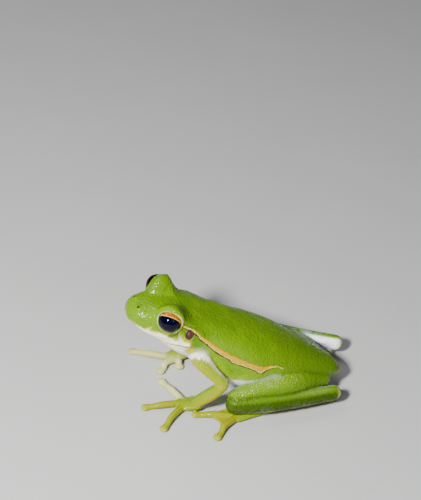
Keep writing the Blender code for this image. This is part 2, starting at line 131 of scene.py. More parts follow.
TARSUS = {
    "left": ((18.4, -4.9, 1.2, 0.95, 0.95), (14.0, -5.6, 0.85, 0.9, 0.9), (8.0, -7.0, 0.8, 0.95, 0.85)),
    "right": ((19.6, 8.8, 1.2, 0.95, 0.95), (16.0, 9.4, 0.85, 0.9, 0.9), (10.6, 11.0, 0.8, 0.95, 0.85)),
}
INSTEP = {
    "left": ((8.0, -7.0, 0.8, 0.95, 0.85), (3.0, -8.6, 0.8, 1.3, 0.85), (-0.9, -9.8, 0.7, 1.7, 0.75)),
    "right": ((10.6, 11.0, 0.8, 0.95, 0.85), (5.8, 13.4, 0.8, 1.3, 0.85), (1.9, 14.7, 0.7, 1.7, 0.75)),
}
FINGERS = {
    "left": (
        ((-9.2, -6.0), (-8.7, -4.4), 0.0),
        ((-10.8, -5.4), (-14.4, 0.7), 0.2),
        ((-11.6, -6.2), (-18.1, -7.0), 0.3),
        ((-10.9, -7.3), (-14.9, -13.1), -0.2),
    ),
    "right": (
        ((-10.8, 6.9), (-10.6, 5.1), 0.0),
        ((-11.9, 6.9), (-14.5, 3.7), -0.3),
        ((-12.8, 7.8), (-19.8, 10.0), 0.35),
        ((-11.6, 9.0), (-10.8, 14.0), 0.3),
    ),
}
TOES = {
    "left": (
        ((1.4, -8.4), (2.6, -5.4), 0.0),
        ((0.3, -8.6), (0.6, -4.6), 0.2),
        ((-0.8, -8.9), (-1.5, -4.4), 0.3),
        ((-2.0, -9.9), (-8.6, -9.1), 0.2),
        ((-1.3, -10.8), (-5.0, -15.6), -0.3),
    ),
    "right": (
        ((4.2, 13.2), (5.4, 10.2), 0.0),
        ((3.1, 13.4), (3.2, 9.4), -0.2),
        ((2.0, 13.7), (0.9, 9.2), -0.3),
        ((0.8, 14.6), (-5.8, 14.4), -0.2),
        ((1.4, 15.8), (-2.2, 20.4), 0.3),
    ),
}
DIGIT_RADIUS = 0.64
DIGIT_ARCH = 1.0
PAD_WIDTH = 0.85
PAD_HEIGHT = 0.5
PAD_LEVEL = 0.42
WEB_REACH = 0.42
WEB_HOLLOW = 0.3
WEB_THICKNESS = 0.5


def ramp(low, high, x):
    t = np.clip((x - low) / (high - low), 0.0, 1.0)
    return t * t * (3 - 2 * t)


def bump(x, width):
    """One at zero, falling off to nothing within a few widths."""
    return np.exp(-((x / width) ** 2))


def smooth_rows(rows, at):
    """Rows on a smooth curve through the given ones, whose first value is their place."""
    rows = np.asarray(rows, float)
    at = np.atleast_1d(np.asarray(at, float))
    place = rows[:, 0]
    i = np.clip(np.searchsorted(place, at, side="right") - 1, 0, len(place) - 2)
    span = place[i + 1] - place[i]
    u = ((at - place[i]) / span)[:, None]

    def slope(j):
        a = np.maximum(j - 1, 0)
        b = np.minimum(j + 1, len(place) - 1)
        return (rows[b] - rows[a]) * (span / (place[b] - place[a]))[:, None]

    start = (2 * u**3 - 3 * u**2 + 1) * rows[i] + (u**3 - 2 * u**2 + u) * slope(i)
    end = (3 * u**2 - 2 * u**3) * rows[i + 1] + (u**3 - u**2) * slope(i + 1)
    return start + end


def unit(v):
    return v / (np.linalg.norm(v, axis=-1, keepdims=True) + 1e-12)


def axes_along(points, roll=None):
    """Directions along a line of points, sideways and upward, at each of them."""
    along = unit(np.gradient(points, axis=0))
    sideways = unit(np.cross((0.0, 0.0, 1.0), along))
    upward = np.cross(along, sideways)
    if roll is not None:
        c, s = np.cos(np.radians(roll))[:, None], np.sin(np.radians(roll))[:, None]
        sideways, upward = sideways * c + upward * s, upward * c - sideways * s
    return along, sideways, upward


class Body:
    """The head and trunk as a smooth tube, with its stations sampled finely."""

    def __init__(self):
        self.s = np.linspace(SPINE[0, 0], SPINE[-1, 0], 500)
        rows = smooth_rows(SPINE, self.s)
        self.centre = rows[:, 1:4]
        self.sizes = rows[:, 4:9]
        self.along, self.sideways, self.upward = axes_along(self.centre, rows[:, 9])

    def at(self, table, s):
        return np.stack([np.interp(s, self.s, table[:, k]) for k in range(table.shape[1])], 1)

    def place(self, v):
        """For each point: its station, its place in that station's axes, and the sizes there."""
        s = np.clip((v[:, 0] + SNOUT_X) * SPINE_SLANT, 0, self.s[-1])
        for _ in range(4):
            step = np.einsum("ij,ij->i", v - self.at(self.centre, s), self.at(self.along, s))
            s = np.clip(s + step, self.s[0], self.s[-1])
        q = v - self.at(self.centre, s)
        forth, out, up = (
            np.einsum("ij,ij->i", q, self.at(t, s))
            for t in (self.along, self.sideways, self.upward)
        )
        return s, forth, out, up, self.at(self.sizes, s)

    def distance(self, v):
        s, forth, out, up, size = self.place(v)
        high = np.where(up > 0, size[:, 1], size[:, 2])
        power = np.where(up > 0, size[:, 3], size[:, 4])
        ratio = (np.abs(out / size[:, 0]) ** power + np.abs(up / high) ** power) ** (1 / power)
        cap = np.where(s > 20, 0.5, 0.1)
        ratio = np.sqrt(ratio**2 + (forth / cap) ** 2)
        reach = np.sqrt(forth**2 + out**2 + up**2)
        return reach * (1 - 1 / np.maximum(ratio, 1e-6))

    def point(self, s, angle):
        """A point of the surface: angle 0 is the right side, 90 the back and -90 the belly."""
        s = np.atleast_1d(np.asarray(s, float))
        size = self.at(self.sizes, s)
        c, n = np.cos(np.radians(angle)), np.sin(np.radians(angle))
        power = np.where(n > 0, size[:, 3], size[:, 4])
        high = np.where(n > 0, size[:, 1], size[:, 2])
        out = np.sign(c) * np.abs(c) ** (2 / power) * size[:, 0]
        up = np.sign(n) * np.abs(n) ** (2 / power) * high
        return (
            self.at(self.centre, s)
            + self.at(self.sideways, s) * out[:, None]
            + self.at(self.upward, s) * up[:, None]
        )

    def normal(self, s, angle):
        along = self.point(s + 0.05, angle) - self.point(s - 0.05, angle)
        around = self.point(s, angle + 0.5) - self.point(s, angle - 0.5)
        return unit(np.cross(around, along))[0]


class Limb:
    """A tapering limb of oval section along a smooth line, with round ends."""

    def __init__(self, name, rows, blend, samples=14):
        self.name = name
        self.blend = blend
        rows = np.array([(float(i), *row) for i, row in enumerate(rows)])
        rows = smooth_rows(rows, np.linspace(0, rows[-1, 0], samples))
        self.points = rows[:, 1:4]
        self.size = np.maximum(rows[:, 4:6], 0.2)
        _, self.sideways, self.upward = axes_along(self.points)

    def distance(self, v):
        """Signed distance to the limb and how far along it the nearest place is, from 0 to 1."""
        best = np.full(len(v), 1e9)
        along = np.zeros(len(v))
        count = len(self.points) - 1
        for i in range(count):
            a, b = self.points[i], self.points[i + 1]
            line = b - a
            t = np.clip((v - a) @ line / (line @ line), 0, 1)
            q = v - a - t[:, None] * line
            wide = self.size[i, 0] + t * (self.size[i + 1, 0] - self.size[i, 0])
            high = self.size[i, 1] + t * (self.size[i + 1, 1] - self.size[i, 1])
            out, up = q @ self.sideways[i], q @ self.upward[i]
            forth = q @ unit(line)
            cap = np.minimum(wide, high)
            ratio = np.sqrt((out / wide) ** 2 + (up / high) ** 2 + (forth / cap) ** 2)
            reach = np.sqrt((q**2).sum(1))
            d = reach * (1 - 1 / np.maximum(ratio, 1e-6))
            closer = d < best
            best[closer] = d[closer]
            along[closer] = ((i + t) / count)[closer]
        return best, along

    def box(self, margin):
        reach = self.size.max() + margin
        return self.points.min(0) - reach, self.points.max(0) + reach

    def mesh(self, bm, sides=16):
        """A rough closed tube for the first voxel mesh."""
        turn = np.arange(sides) * math.tau / sides
        ends = [(0, -0.85, 0.5), (0, -0.5, 0.85)]
        ends += [(i, 0.0, 1.0) for i in range(len(self.points))]
        ends += [(len(self.points) - 1, 0.5, 0.85), (len(self.points) - 1, 0.85, 0.5)]
        forth = unit(np.gradient(self.points, axis=0))
        loops = []
        for i, shift, share in ends:
            wide, high = self.size[i] * share
            middle = self.points[i] + forth[i] * shift * self.size[i].min()
            ring = (
                middle
                + np.outer(np.cos(turn) * wide, self.sideways[i])
                + np.outer(np.sin(turn) * high, self.upward[i])
            )
            loops.append([bm.verts.new(p) for p in ring])
        bridge(bm, loops)


def bridge(bm, loops):
    """Closes a tube of loops, with flat ends."""
    count = len(loops[0])
    for low, high in zip(loops, loops[1:]):
        for k in range(count):
            bm.faces.new((low[k], low[(k + 1) % count], high[(k + 1) % count], high[k]))
    bm.faces.new(list(reversed(loops[0])))
    bm.faces.new(loops[-1])


def digit_rows(root, pad, bend):
    """A finger or toe: it leaves the palm, arches a little and ends in a flat round pad."""
    start, end = np.array((*root, 0.75)), np.array((*pad, PAD_LEVEL))
    along = unit(end - start)
    length = np.linalg.norm(end - start)
    side = np.array((-along[1] * bend, along[0] * bend, 0.0))
    middle = (start + end) / 2 + side + (0, 0, DIGIT_ARCH - 0.6)
    neck = end - along * min(PAD_WIDTH * 1.5, length * 0.3)
    tip = end + along * PAD_WIDTH * 0.35
    thin = DIGIT_RADIUS
    return (
        (*start, thin * 1.1, thin),
        (*middle, thin, thin),
        (*neck, thin * 0.92, thin * 0.8),
        (*end, PAD_WIDTH, PAD_HEIGHT),
        (*tip, PAD_WIDTH * 0.8, PAD_HEIGHT * 0.8),
    )


def web_outline(table):
    """The outline of the web of a foot, seen from above, at the toes' height."""
    rows = [digit_rows(*digit) for digit in table]
    roots = [np.array(r[0][:3]) for r in rows]
    ends = []
    for r in rows:
        numbered = [(float(i), *row) for i, row in enumerate(r)]
        ends.append(smooth_rows(numbered, WEB_REACH * 4)[0, 1:4])
    centre = np.mean(roots, axis=0)
    outline = [centre + unit(centre - np.mean(ends, axis=0)) * 0.4]
    for i, (root, end) in enumerate(zip(roots, ends)):
        outline.append(end + (root - end) * 0.1)
        if i + 1 < len(roots):
            near, far = root + roots[i + 1], end + ends[i + 1]
            outline.append((far + (near - far) * WEB_HOLLOW) / 2)
    return outline


BODY = Body()
LIMBS = []
for word in SIDES:
    LIMBS += [
        Limb(f"upper_arm_{word}", UPPER_ARM[word], 1.2),
        Limb(f"forearm_{word}", FOREARM[word], 0.3),
        Limb(f"hand_{word}", PALM[word], 0.6),
        Limb(f"thigh_{word}", THIGH[word], 0.5, 20),
        Limb(f"shank_{word}", SHANK[word], 0.22, 20),
        Limb(f"tarsus_{word}", TARSUS[word], 0.4),
        Limb(f"foot_{word}", INSTEP[word], 0.5),
    ]
    for i, digit in enumerate(FINGERS[word], 1):
        LIMBS.append(Limb(f"finger_{i}_{word}", digit_rows(*digit), 0.35, 16))
    for i, digit in enumerate(TOES[word], 1):
        LIMBS.append(Limb(f"toe_{i}_{word}", digit_rows(*digit), 0.35, 16))


def head_axes(place):
    """Centre, forward, sideways and upward at a station of the head."""
    s = np.array([place])
    return [BODY.at(t, s)[0] for t in (BODY.centre, BODY.along, BODY.sideways, BODY.upward)]


def eye_axes(word):
    """Centre of an eye, and its directions of gaze, to the snout and up."""
    centre, along, sideways, upward = head_axes(EYE_PLACE[word])
    side = SIDES[word]
    place = centre + sideways * EYE_SIDE * side + upward * EYE_HEIGHT[word]
    forward, outward, up = GAZE
    look = unit(-along * forward + sideways * side * outward + upward * up)
    ahead = unit(-along - look * (-along @ look))
    return place, look, ahead, unit(np.cross(look, ahead) * side)


EYES = {word: eye_axes(word) for word in SIDES}


def lid_centre(word):
    upward = head_axes(EYE_PLACE[word])[3]
    centre, look, ahead, _ = EYES[word]
    return centre - look * LID_SINK + upward * LID_RISE[word] + ahead * LID_AHEAD[word]


def smooth_min(a, b, k):
    h = np.clip(0.5 + 0.5 * (b - a) / k, 0, 1)
    return b + (a - b) * h - k * h * (1 - h)


def skin_distance(v, near):
    """Signed distance to the blended skin. near holds, for each limb, the points close to it."""
    d = BODY.distance(v)
    for word in SIDES:
        _, look, ahead, above = EYES[word]
        q = v - lid_centre(word)
        reach = np.linalg.norm(q, axis=1)
        share = q / np.maximum(reach, 1e-6)[:, None]
        forth, out, up = share @ ahead, share @ look, share @ above
        soft = 1.0 + 1.8 * ramp(0.45, -0.2, out) * ramp(0.3, -0.4, forth)
        soft += 1.3 * ramp(-0.1, -0.7, up) * ramp(-0.5, 0.3, forth)
        d = smooth_min(d, reach - LID_RADIUS, soft)
    for limb, index in zip(LIMBS, near):
        if len(index):
            own, _ = limb.distance(v[index])
            d[index] = smooth_min(d[index], own, limb.blend)
    return d


def linked(name, bm):
    mesh = bpy.data.meshes.new(name)
    bm.to_mesh(mesh)
    bm.free()
    made = bpy.data.objects.new(name, mesh)
    bpy.context.scene.collection.objects.link(made)
    return made


def coordinates(mesh, kind="co"):
    v = np.empty(len(mesh.vertices) * 3, np.float32)
    mesh.vertices.foreach_get(kind, v)
    return v.reshape(-1, 3).astype(float)


def set_coordinates(mesh, v):
    mesh.vertices.foreach_set("co", np.ascontiguousarray(v, np.float32).ravel())
    mesh.update()


def shade_smooth(made):
    made.data.polygons.foreach_set("use_smooth", np.ones(len(made.data.polygons), bool))
    return made


def apply_modifiers(made):
    graph = bpy.context.evaluated_depsgraph_get()
    mesh = bpy.data.meshes.new_from_object(made.evaluated_get(graph))
    old = made.data
    made.modifiers.clear()
    made.data = mesh
    bpy.data.meshes.remove(old)


def rough_skin():
    """All the flesh as one voxel mesh, before it is drawn onto the blended surface."""
    bm = bmesh.new()
    turn = np.arange(64) * 360 / 64
    loops = []
    for s in np.linspace(0.05, 45.35, 80):
        ring = BODY.point(np.full(64, s), turn)
        loops.append([bm.verts.new(p) for p in ring])
    bridge(bm, loops)
    for word in SIDES:
        place = Matrix.Translation(Vector(lid_centre(word)))
        bmesh.ops.create_uvsphere(bm, u_segments=32, v_segments=20, radius=LID_RADIUS, matrix=place)
        outline = web_outline(TOES[word])
        half = np.array((0, 0, WEB_THICKNESS / 2))
        bridge(bm, [[bm.verts.new(p - half) for p in outline], [bm.verts.new(p + half) for p in outline]])
    for limb in LIMBS:
        limb.mesh(bm)
    bmesh.ops.triangulate(bm, faces=bm.faces)
    skin = linked("skin", bm)
    remesh = skin.modifiers.new("voxels", "REMESH")
    remesh.mode = "VOXEL"
    remesh.voxel_size = VOXEL
    remesh.adaptivity = 0.0
    apply_modifiers(skin)
    return skin


def close_to_limbs(v):
    near = []
    for limb in LIMBS:
        low, high = limb.box(limb.blend + 0.6)
        near.append(np.flatnonzero(((v > low) & (v < high)).all(1)))
    return near


def edges_of(mesh):
    e = np.empty(len(mesh.edges) * 2, np.int32)
    mesh.edges.foreach_get("vertices", e)
    return e.reshape(-1, 2)


def relaxed(v, edges, weight, rounds, strength=0.5):
    """Moves each point towards the mean of its neighbours."""
    count = np.bincount(edges.ravel(), minlength=len(v))[:, None]
    for _ in range(rounds):
        total = np.stack(
            [
                np.bincount(edges[:, 0], v[edges[:, 1], k], len(v))
                + np.bincount(edges[:, 1], v[edges[:, 0], k], len(v))
                for k in range(v.shape[1])
            ],
            1,
        )
        v = v + (total / np.maximum(count, 1) - v) * (strength * weight)[:, None]
    return v


def webbed(v):
    """True for points on the webs, which the blended surface leaves out."""
    hidden = np.zeros(len(v), bool)
    for word in SIDES:
        outline = np.array(web_outline(TOES[word]))
        low, high = outline.min(0) - 0.4, outline.max(0) + 0.4
        hidden |= ((v > low) & (v < high)).all(1)
    return hidden


def draw_onto_surface(skin):
    """Moves the voxel mesh onto the smooth blend of all the forms."""
    v = coordinates(skin.data)
    edges = edges_of(skin.data)
    v = relaxed(v, edges, np.ones(len(v)), 2)
    web = webbed(v)
    for round_ in range(3):
        near = close_to_limbs(v)
        d = skin_distance(v, near)
        gradient = np.empty_like(v)
        for k in range(3):
            moved = v.copy()
            moved[:, k] += 0.02
            gradient[:, k] = (skin_distance(moved, near) - d) / 0.02
        steep = (gradient**2).sum(1)
        step = d / np.maximum(steep, 0.25)
        step = np.clip(step, -0.5, 0.5)
        step[web & (d > 0.05)] = 0
        v -= step[:, None] * gradient
        if round_ < 2:
            v = relaxed(v, edges, np.ones(len(v)), 1)
    tip = ramp(2.4, 1.2, np.linalg.norm(v - SPINE[0, 1:4], axis=1))
    v = relaxed(v, edges, tip, 12)
    set_coordinates(skin.data, v)
    return v, edges


# Marks on the body as place along it and degrees above its widest line.
STRIPE_TOP = np.array((
    (8.8, 46), (10.2, 41), (11.1, 39), (12, 37), (12.8, 33), (13.6, 28.5), (14.9, 23.5),
    (16.4, 19.5), (17.9, 17), (19.2, 14.5), (20.4, 12.5), (21.7, 11.5), (23.2, 11), (25.8, 11.5),
    (26.9, 11.5), (27.7, 13), (28.6, 18), (29.7, 22), (30.7, 21.5), (31.9, 20), (33, 20),
))
STRIPE_FOOT = np.array((
    (8.8, 42), (10.3, 36.5), (11.2, 34), (11.9, 31), (13, 26), (13.9, 19.5), (15, 13.5),
    (16.1, 9.5), (16.9, 7.5), (18.2, 4), (19.3, 2), (20.5, 0.5), (21.7, -0.5), (24, 0),
    (25.1, 0.5), (26.3, 0.5), (27.3, -0.5), (27.9, -0.5), (28.3, 4), (28.7, 11), (29.3, 16),
    (30.3, 19.5), (31.8, 18.5), (33, 19.5),
))
LIP_TOP = np.array((
    (0, -70), (1.1, -25), (1.9, -27), (2.6, -24.7), (3.3, -24), (3.9, -22.8), (4.3, -22),
    (4.8, -16.5), (5.5, -9.5), (6.1, -6.5), (7, -4), (7.9, -4.5), (8.6, -6.5), (9.4, -8),
    (10.3, -4.3), (11.3, -2.7), (12.2, -1.2), (13, -6),
))
BELLY_EDGE = np.array((
    (12.6, -22), (14.3, -23), (16.2, -25), (17.8, -19), (19.3, -17), (20.6, -18), (21.9, -24),
    (22.8, -29), (24, -25), (25.1, -18), (26.2, -16), (27.1, -12), (28.1, -9), (29.8, -2),
    (31.6, 3), (33, 0), (36, -14), (45.4, -20),
))
MM_PER_DEGREE = 0.1
SPOTS = ((14.6, -10), (16.5, -9))
# Degrees from the gaze to the edge of the lids, lengthwise and upward, and how the oval leans.
EYE_OPENING = (84.0, 63.0)
EYE_LEAN = 6.0
PUPIL_CENTRE = (0.05, 0.04)
PUPIL_SIZE = (2.15, 1.4)
PUPIL_LEAN = -2.0
# How far across the gaze each eye's dark ring begins. On the right eye it begins well inside the iris: a
# painted dark band standing in for how the cornea looks dark when seen edge-on.
IRIS_EDGE = {"left": 2.12, "right": 1.35}
BUMPS = (
    (12.9, 75.0, 1.3, 0.16),
    (16.2, 56.0, 1.5, 0.26),
    (18.7, 63.0, 1.4, 0.2),
    (22.5, 50.0, 1.6, 0.12),
    (29.5, 62.0, 1.8, 0.14),
)


def sided(angle, word):
    """An angle of the right side, as the same one of the side that is named."""
    return angle if word == "right" else 180 - angle


def mark_place(s, angle, word):
    return BODY.point(s, sided(angle, word))[0]


def polyline_distance(v, line):
    """Distance to a line of points, and the nearest place on it."""
    best = np.full(len(v), 1e9)
    nearest = np.zeros_like(v)
    for a, b in zip(line, line[1:]):
        way = b - a
        t = np.clip((v - a) @ way / (way @ way), 0, 1)
        p = a + t[:, None] * way
        d = ((v - p) ** 2).sum(1)
        closer = d < best
        best[closer] = d[closer]
        nearest[closer] = p[closer]
    return np.sqrt(best), nearest


def body_line(table, word, steps=60):
    """A table of places and angles as points on one side of the body."""
    s = np.linspace(table[0, 0], table[-1, 0], steps)
    angle = sided(np.interp(s, table[:, 0], table[:, 1]), word)
    return np.array([BODY.point(a, b)[0] for a, b in zip(s, angle)])


def mouth_line():
    """The line of the mouth from one corner round the snout to the other."""
    left, right = body_line(MOUTH, "left"), body_line(MOUTH, "right")
    return np.concatenate([left[::-1], right])


def on_body(s, angle, out):
    """The points of the plain body's surface that lie under points of the blended skin."""
    return BODY.point(s, np.where(out < 0, 180 - angle, angle))


def body_map(v):
    """Place along the body and degrees above its widest line, for every point."""
    s, _, out, up, size = BODY.place(v)
    high = np.where(up > 0, size[:, 1], size[:, 2])
    power = np.where(up > 0, size[:, 3], size[:, 4])
    c = np.abs(out / size[:, 0]) ** (power / 2)
    n = np.sign(up) * np.abs(up / high) ** (power / 2)
    return s, np.degrees(np.arctan2(n, c)), out


def eye_map(v, word):
    """For every point: its distance from the eye, its angle from the gaze, and where it lies."""
    centre, look, ahead, above = EYES[word]
    q = v - centre
    reach = np.linalg.norm(q, axis=1)
    angle = np.degrees(np.arccos(np.clip(q @ look / reach, -1, 1)))
    return q, reach, angle, q @ ahead, q @ above


def eye_opening(ahead, above):
    """Degrees from the gaze to the edge of the lids, in the direction of each point."""
    lean = math.radians(EYE_LEAN)
    long = ahead * math.cos(lean) + above * math.sin(lean)
    high = above * math.cos(lean) - ahead * math.sin(lean)
    spread = np.hypot(long, high) + 1e-9
    return spread / np.hypot(long / EYE_OPENING[0], high / EYE_OPENING[1])


def shape_details(v, normal):
    """Mouth, nostrils, ears, folds and bumps on the smooth surface."""
    s, angle, out = body_map(v)
    push = np.zeros(len(v))
    head = (s < 14.5) & (BODY.distance(v) < 2.5)
    upward = BODY.at(BODY.upward, s)
    near = np.flatnonzero(head)
    under = on_body(s, angle, out)
    d, place = polyline_distance(under[near], mouth_line())
    over = np.einsum("ij,ij->i", under[near] - place, upward[near])
    push[near] -= 0.3 * bump(d, 0.15)
    lips = ramp(0.5, 3.0, s[near])
    push[near] += lips * np.where(over > 0, 0.15, -0.05) * bump(np.maximum(d - 0.3, 0), 0.42)
    chin = 0.09 * bump(over + 0.42, 0.2) * (d < 0.9) - 0.12 * bump(over + 0.85, 0.2) * (d < 1.2)
    push[near] += lips * chin
    for word, side in SIDES.items():
        near = np.flatnonzero(head & (out * side > -0.5))
        p = v[near]
        hole = mark_place(NOSTRIL_PLACE, NOSTRIL_ANGLE, word)
        d = np.linalg.norm(p - hole, axis=1)
        push[near] += 0.12 * bump(d - 0.42, 0.22) - 0.42 * bump(d, 0.2)

        drum = mark_place(EAR_PLACE, EAR_ANGLE, word)
        q = p - drum
        along, up = (BODY.at(t, [EAR_PLACE])[0] for t in (BODY.along, BODY.upward))
        d = np.sqrt((q @ along / 0.86) ** 2 + (q @ up) ** 2)
        d = np.where(np.linalg.norm(q, axis=1) < 1.6, d, 9.0)
        push[near] += 0.07 * bump(d - 1.2, 0.2)
        push[near] -= 0.25 * (1 - ramp(0.86, 1.06, d))

        ridge = body_line(STRIPE_FOOT[:5], word)
        d, place = polyline_distance(p, ridge)
        over = np.einsum("ij,ij->i", p - place, upward[near])
        push[near] += (0.16 * bump(over - 0.35, 0.3) - 0.1 * bump(over + 0.5, 0.35)) * (d < 1.5)

        _, reach, _, ahead, above = eye_map(v, word)
        lid = reach < 3.6
        behind = ramp(-0.3, -1.6, ahead)
        push -= 0.22 * bump(reach - 3.1, 0.22) * behind * lid * ramp(0.2, 1.2, above)
        push -= 0.12 * bump(reach - 3.0, 0.2) * ramp(-0.5, -1.8, above) * lid
    for place, turn, width, height in BUMPS:
        for word in SIDES:
            d = np.linalg.norm(v - mark_place(place, turn, word), axis=1)
            push += height * bump(d, width)
    return v + normal * push[:, None]


def with_lids(v):
    """Draws the skin round each eye onto its lids, and inside their opening under the eye."""
    for word in SIDES:
        centre = EYES[word][0]
        q, reach, turn, ahead, above = eye_map(v, word)
        opening = eye_opening(ahead, above)
        close, low, high = LID_CLOSE[word]
        lid = (reach < 5.0) & (turn < opening + high + 2)
        beyond = np.maximum(turn - opening, 0)
        margin = EYE_RADIUS + 0.17 + 0.34 * (beyond / close) ** 1.8 + 2.5 * ramp(low, high, beyond)
        outer = smooth_min(reach, margin, 0.12 if word == "left" else 0.4)
        inside = 1 - ramp(opening - 2.5, opening + 1.5, turn)
        wanted = outer + (EYE_RADIUS - 0.4 - outer) * inside
        v = np.where(lid[:, None], centre + q / reach[:, None] * wanted[:, None], v)
    return v


LIMB_GROUPS = {
    "upper": "arm",
    "forearm": "forearm",
    "hand": "hand",
    "finger": "digit",
    "thigh": "thigh",
    "shank": "shank",
    "tarsus": "foot",
    "foot": "foot",
    "toe": "digit",
}


def limb_map(v):
    """Each point's share of every group of limbs, its place along the nearest limb, the limb's
    side, and a mark for the pale inner digits."""
    names = ["body", *dict.fromkeys(LIMB_GROUPS.values())]
    table = {name: np.full(len(v), 9.0) for name in names}
    table["body"] = BODY.distance(v)
    for word in SIDES:
        ball = np.linalg.norm(v - lid_centre(word), axis=1) - LID_RADIUS
        table["body"] = np.minimum(table["body"], ball)
    along = {name: np.zeros(len(v)) for name in names}
    side = np.zeros(len(v))
    inner = np.zeros(len(v))
    for limb, index in zip(LIMBS, close_to_limbs(v)):
        words = limb.name.split("_")
        group = LIMB_GROUPS[words[0]]
        d, t = limb.distance(v[index])
        closer = d < table[group][index]
        chosen = index[closer]
        table[group][chosen] = d[closer]
        along[group][chosen] = t[closer]
        side[chosen] = SIDES[words[-1]]
        inner[chosen] = words[0] + words[1] in ("finger1", "finger2", "toe1", "toe2", "toe3")
    best = np.minimum.reduce(list(table.values()))
    weight = {name: np.exp(-np.maximum(d - best, 0) / 0.22) for name, d in table.items()}
    total = sum(weight.values())
    return {name: w / total for name, w in weight.items()}, along, side, inner


def paint(mesh, name, values):
    layer = mesh.attributes.new(name, "FLOAT", "POINT")
    layer.data.foreach_set("value", np.ascontiguousarray(values, np.float32))


def within(x, low, high, soft):
    return ramp(low - soft, low + soft, x) * ramp(high + soft, high - soft, x)


def eye_marks(marks, v):
    """The lids. Gives where an eye is near, where one lies close ahead, and the painted shade in its
    creases.
    """
    eye_near = np.zeros(len(v))
    behind_eye = np.zeros(len(v))
    lid = np.zeros(len(v))
    lid_low = np.zeros(len(v))
    crease_shade = np.zeros(len(v))
    for word in SIDES:
        _, reach, turn, ahead, up = eye_map(v, word)
        wide = eye_opening(ahead, up) + 0.2 + 0.6 * ramp(0.8, -0.8, up)
        wide += 4 * ramp(0.0, -1.8, ahead)
        edge = (reach < 3.4) & (turn < 110)
        lid = np.maximum(lid, edge * (1 - ramp(wide - 1.5, wide + 1.5, turn)))
        lid_low += edge * ramp(-0.3, -1.2, up) * ramp(-2.0, -1.2, ahead)
        behind_eye += ramp(3.5, 3.2, reach) * ramp(-0.4, -1.0, ahead)
        eye_near = np.maximum(eye_near, 1 - ramp(2.5, 2.6, reach))
        # Painted shade in the creases behind and below the lid.
        behind = bump(reach - 3.1, 0.2) * ramp(-0.5, -1.7, ahead) * (reach < 4)
        below = bump(reach - 3.0, 0.16) * ramp(-0.7, -1.5, up) * ramp(0.2, -0.8, ahead)
        crease_shade = np.maximum(crease_shade, np.maximum(behind * ramp(-0.7, 0.5, up), 0.7 * below))
    marks.lid = lid
    marks.lid_low = lid * lid_low
    return eye_near, behind_eye, crease_shade


def stripe_marks(marks, s, angle, out, under, body, eye_near):
    """The stripe along each side, as depth inside its edges. Gives the height above its foot."""
    to_top = np.full(len(s), -5.0)
    to_foot = np.full(len(s), -5.0)
    for word, side_ in SIDES.items():
        near = np.flatnonzero((s > 7) & (s < 35) & (out * side_ > 0) & (body > 0.1))
        for table, to_edge in ((STRIPE_TOP, to_top), (STRIPE_FOOT, to_foot)):
            d, _ = polyline_distance(under[near], body_line(table, word, 120))
            limit = np.interp(s[near], table[:, 0], table[:, 1])
            to_edge[near] = np.where(angle[near] > limit, d, -d)
    away = 5 * (1 - body) + 5 * eye_near
    ends = np.minimum(s - 8.6, 33.2 - s)
    marks.stripe_foot = to_foot - away
    marks.stripe_top = np.minimum(-to_top, ends) - away
    # Where along the body the dark line under the stripe is drawn: painted shade under the stripe's
    # raised edge, together with the stripe's own dark lower edge.
    marks.stripe_line = ramp(9.4, 12.8, s) * ramp(30.5, 28.3, s)
    return to_foot


def lip_marks(marks, v, s, angle, under, body, behind_eye):
    """Lips and mouth. Gives the mouth's degrees above the widest line, and the line where the chin folds,
    where shade is painted.
    """
    gape = np.interp(s, MOUTH[:, 0], MOUTH[:, 1], left=-95)
    shown_s, shown_angle, _ = body_map(v)
    lip_top = np.interp(shown_s, LIP_TOP[:, 0], LIP_TOP[:, 1])
    near = np.flatnonzero((s < 14) & (body > 0.2))
    d, place = polyline_distance(under[near], mouth_line())
    from_mouth = np.full(len(v), 9.0)
    over = np.full(len(v), 9.0)
    from_mouth[near] = d
    over[near] = np.einsum("ij,ij->i", under[near] - place, BODY.at(BODY.upward, s[near]))
    lip = (angle > gape - 2) * ramp(13.2, 12.4, s) * body * (1 - behind_eye)
    above_lip = (shown_angle - lip_top) * MM_PER_DEGREE
    rim = ramp(0.36, 0.52, over) + ramp(5.5, 3.5, s)
    marks.lip = lip * ramp(0.22, -0.1, above_lip) * ramp(1.2, 3.2, s) * np.minimum(rim, 1)
    marks.lip_edge = lip * ramp(0.95, 0.3, above_lip)
    fine_line = 0.5 * bump(over - 0.46, 0.09) * (from_mouth < 0.8) * ramp(5.0, 7.0, s)
    marks.mouth = within(from_mouth, -0.2, 0.15, 0.06) + fine_line
    # The line where the chin folds, which gets painted shade.
    chin_line = bump(over + 0.75, 0.1) * (from_mouth < 1.0)
    return gape, chin_line


def body_marks(marks, s, angle, body, gape, to_foot, normal):
    """Belly, flanks, jaw corners, snout, rump and vent."""
    edge = np.interp(s, BELLY_EDGE[:, 0], BELLY_EDGE[:, 1])
    edge = np.where(s < 12.6, gape, edge)
    to_belly = (angle - edge) * MM_PER_DEGREE
    marks.belly = ramp(0.35, -0.35, to_belly) * body
    low = ramp(0.0, -0.35, to_foot) * ramp(14.5, 19, s) * ramp(34, 29, s)
    marks.flank = low * body
    marks.flank_edge = within(to_belly, -0.5, 1.2, 0.5) * body
    marks.flank_edge *= ramp(15, 19, s) * ramp(29, 25, s)
    marks.jaw = within(s, 12.2, 16.0, 0.7) * within(angle, -24, -7, 5) * body
    marks.snout = ramp(8.0, 1.5, s) * body
    marks.rump = ramp(28, 42, s) * body
    marks.vent = ramp(44.2, 44.9, s) * ramp(0.4, 0.05, normal[:, 2]) * body


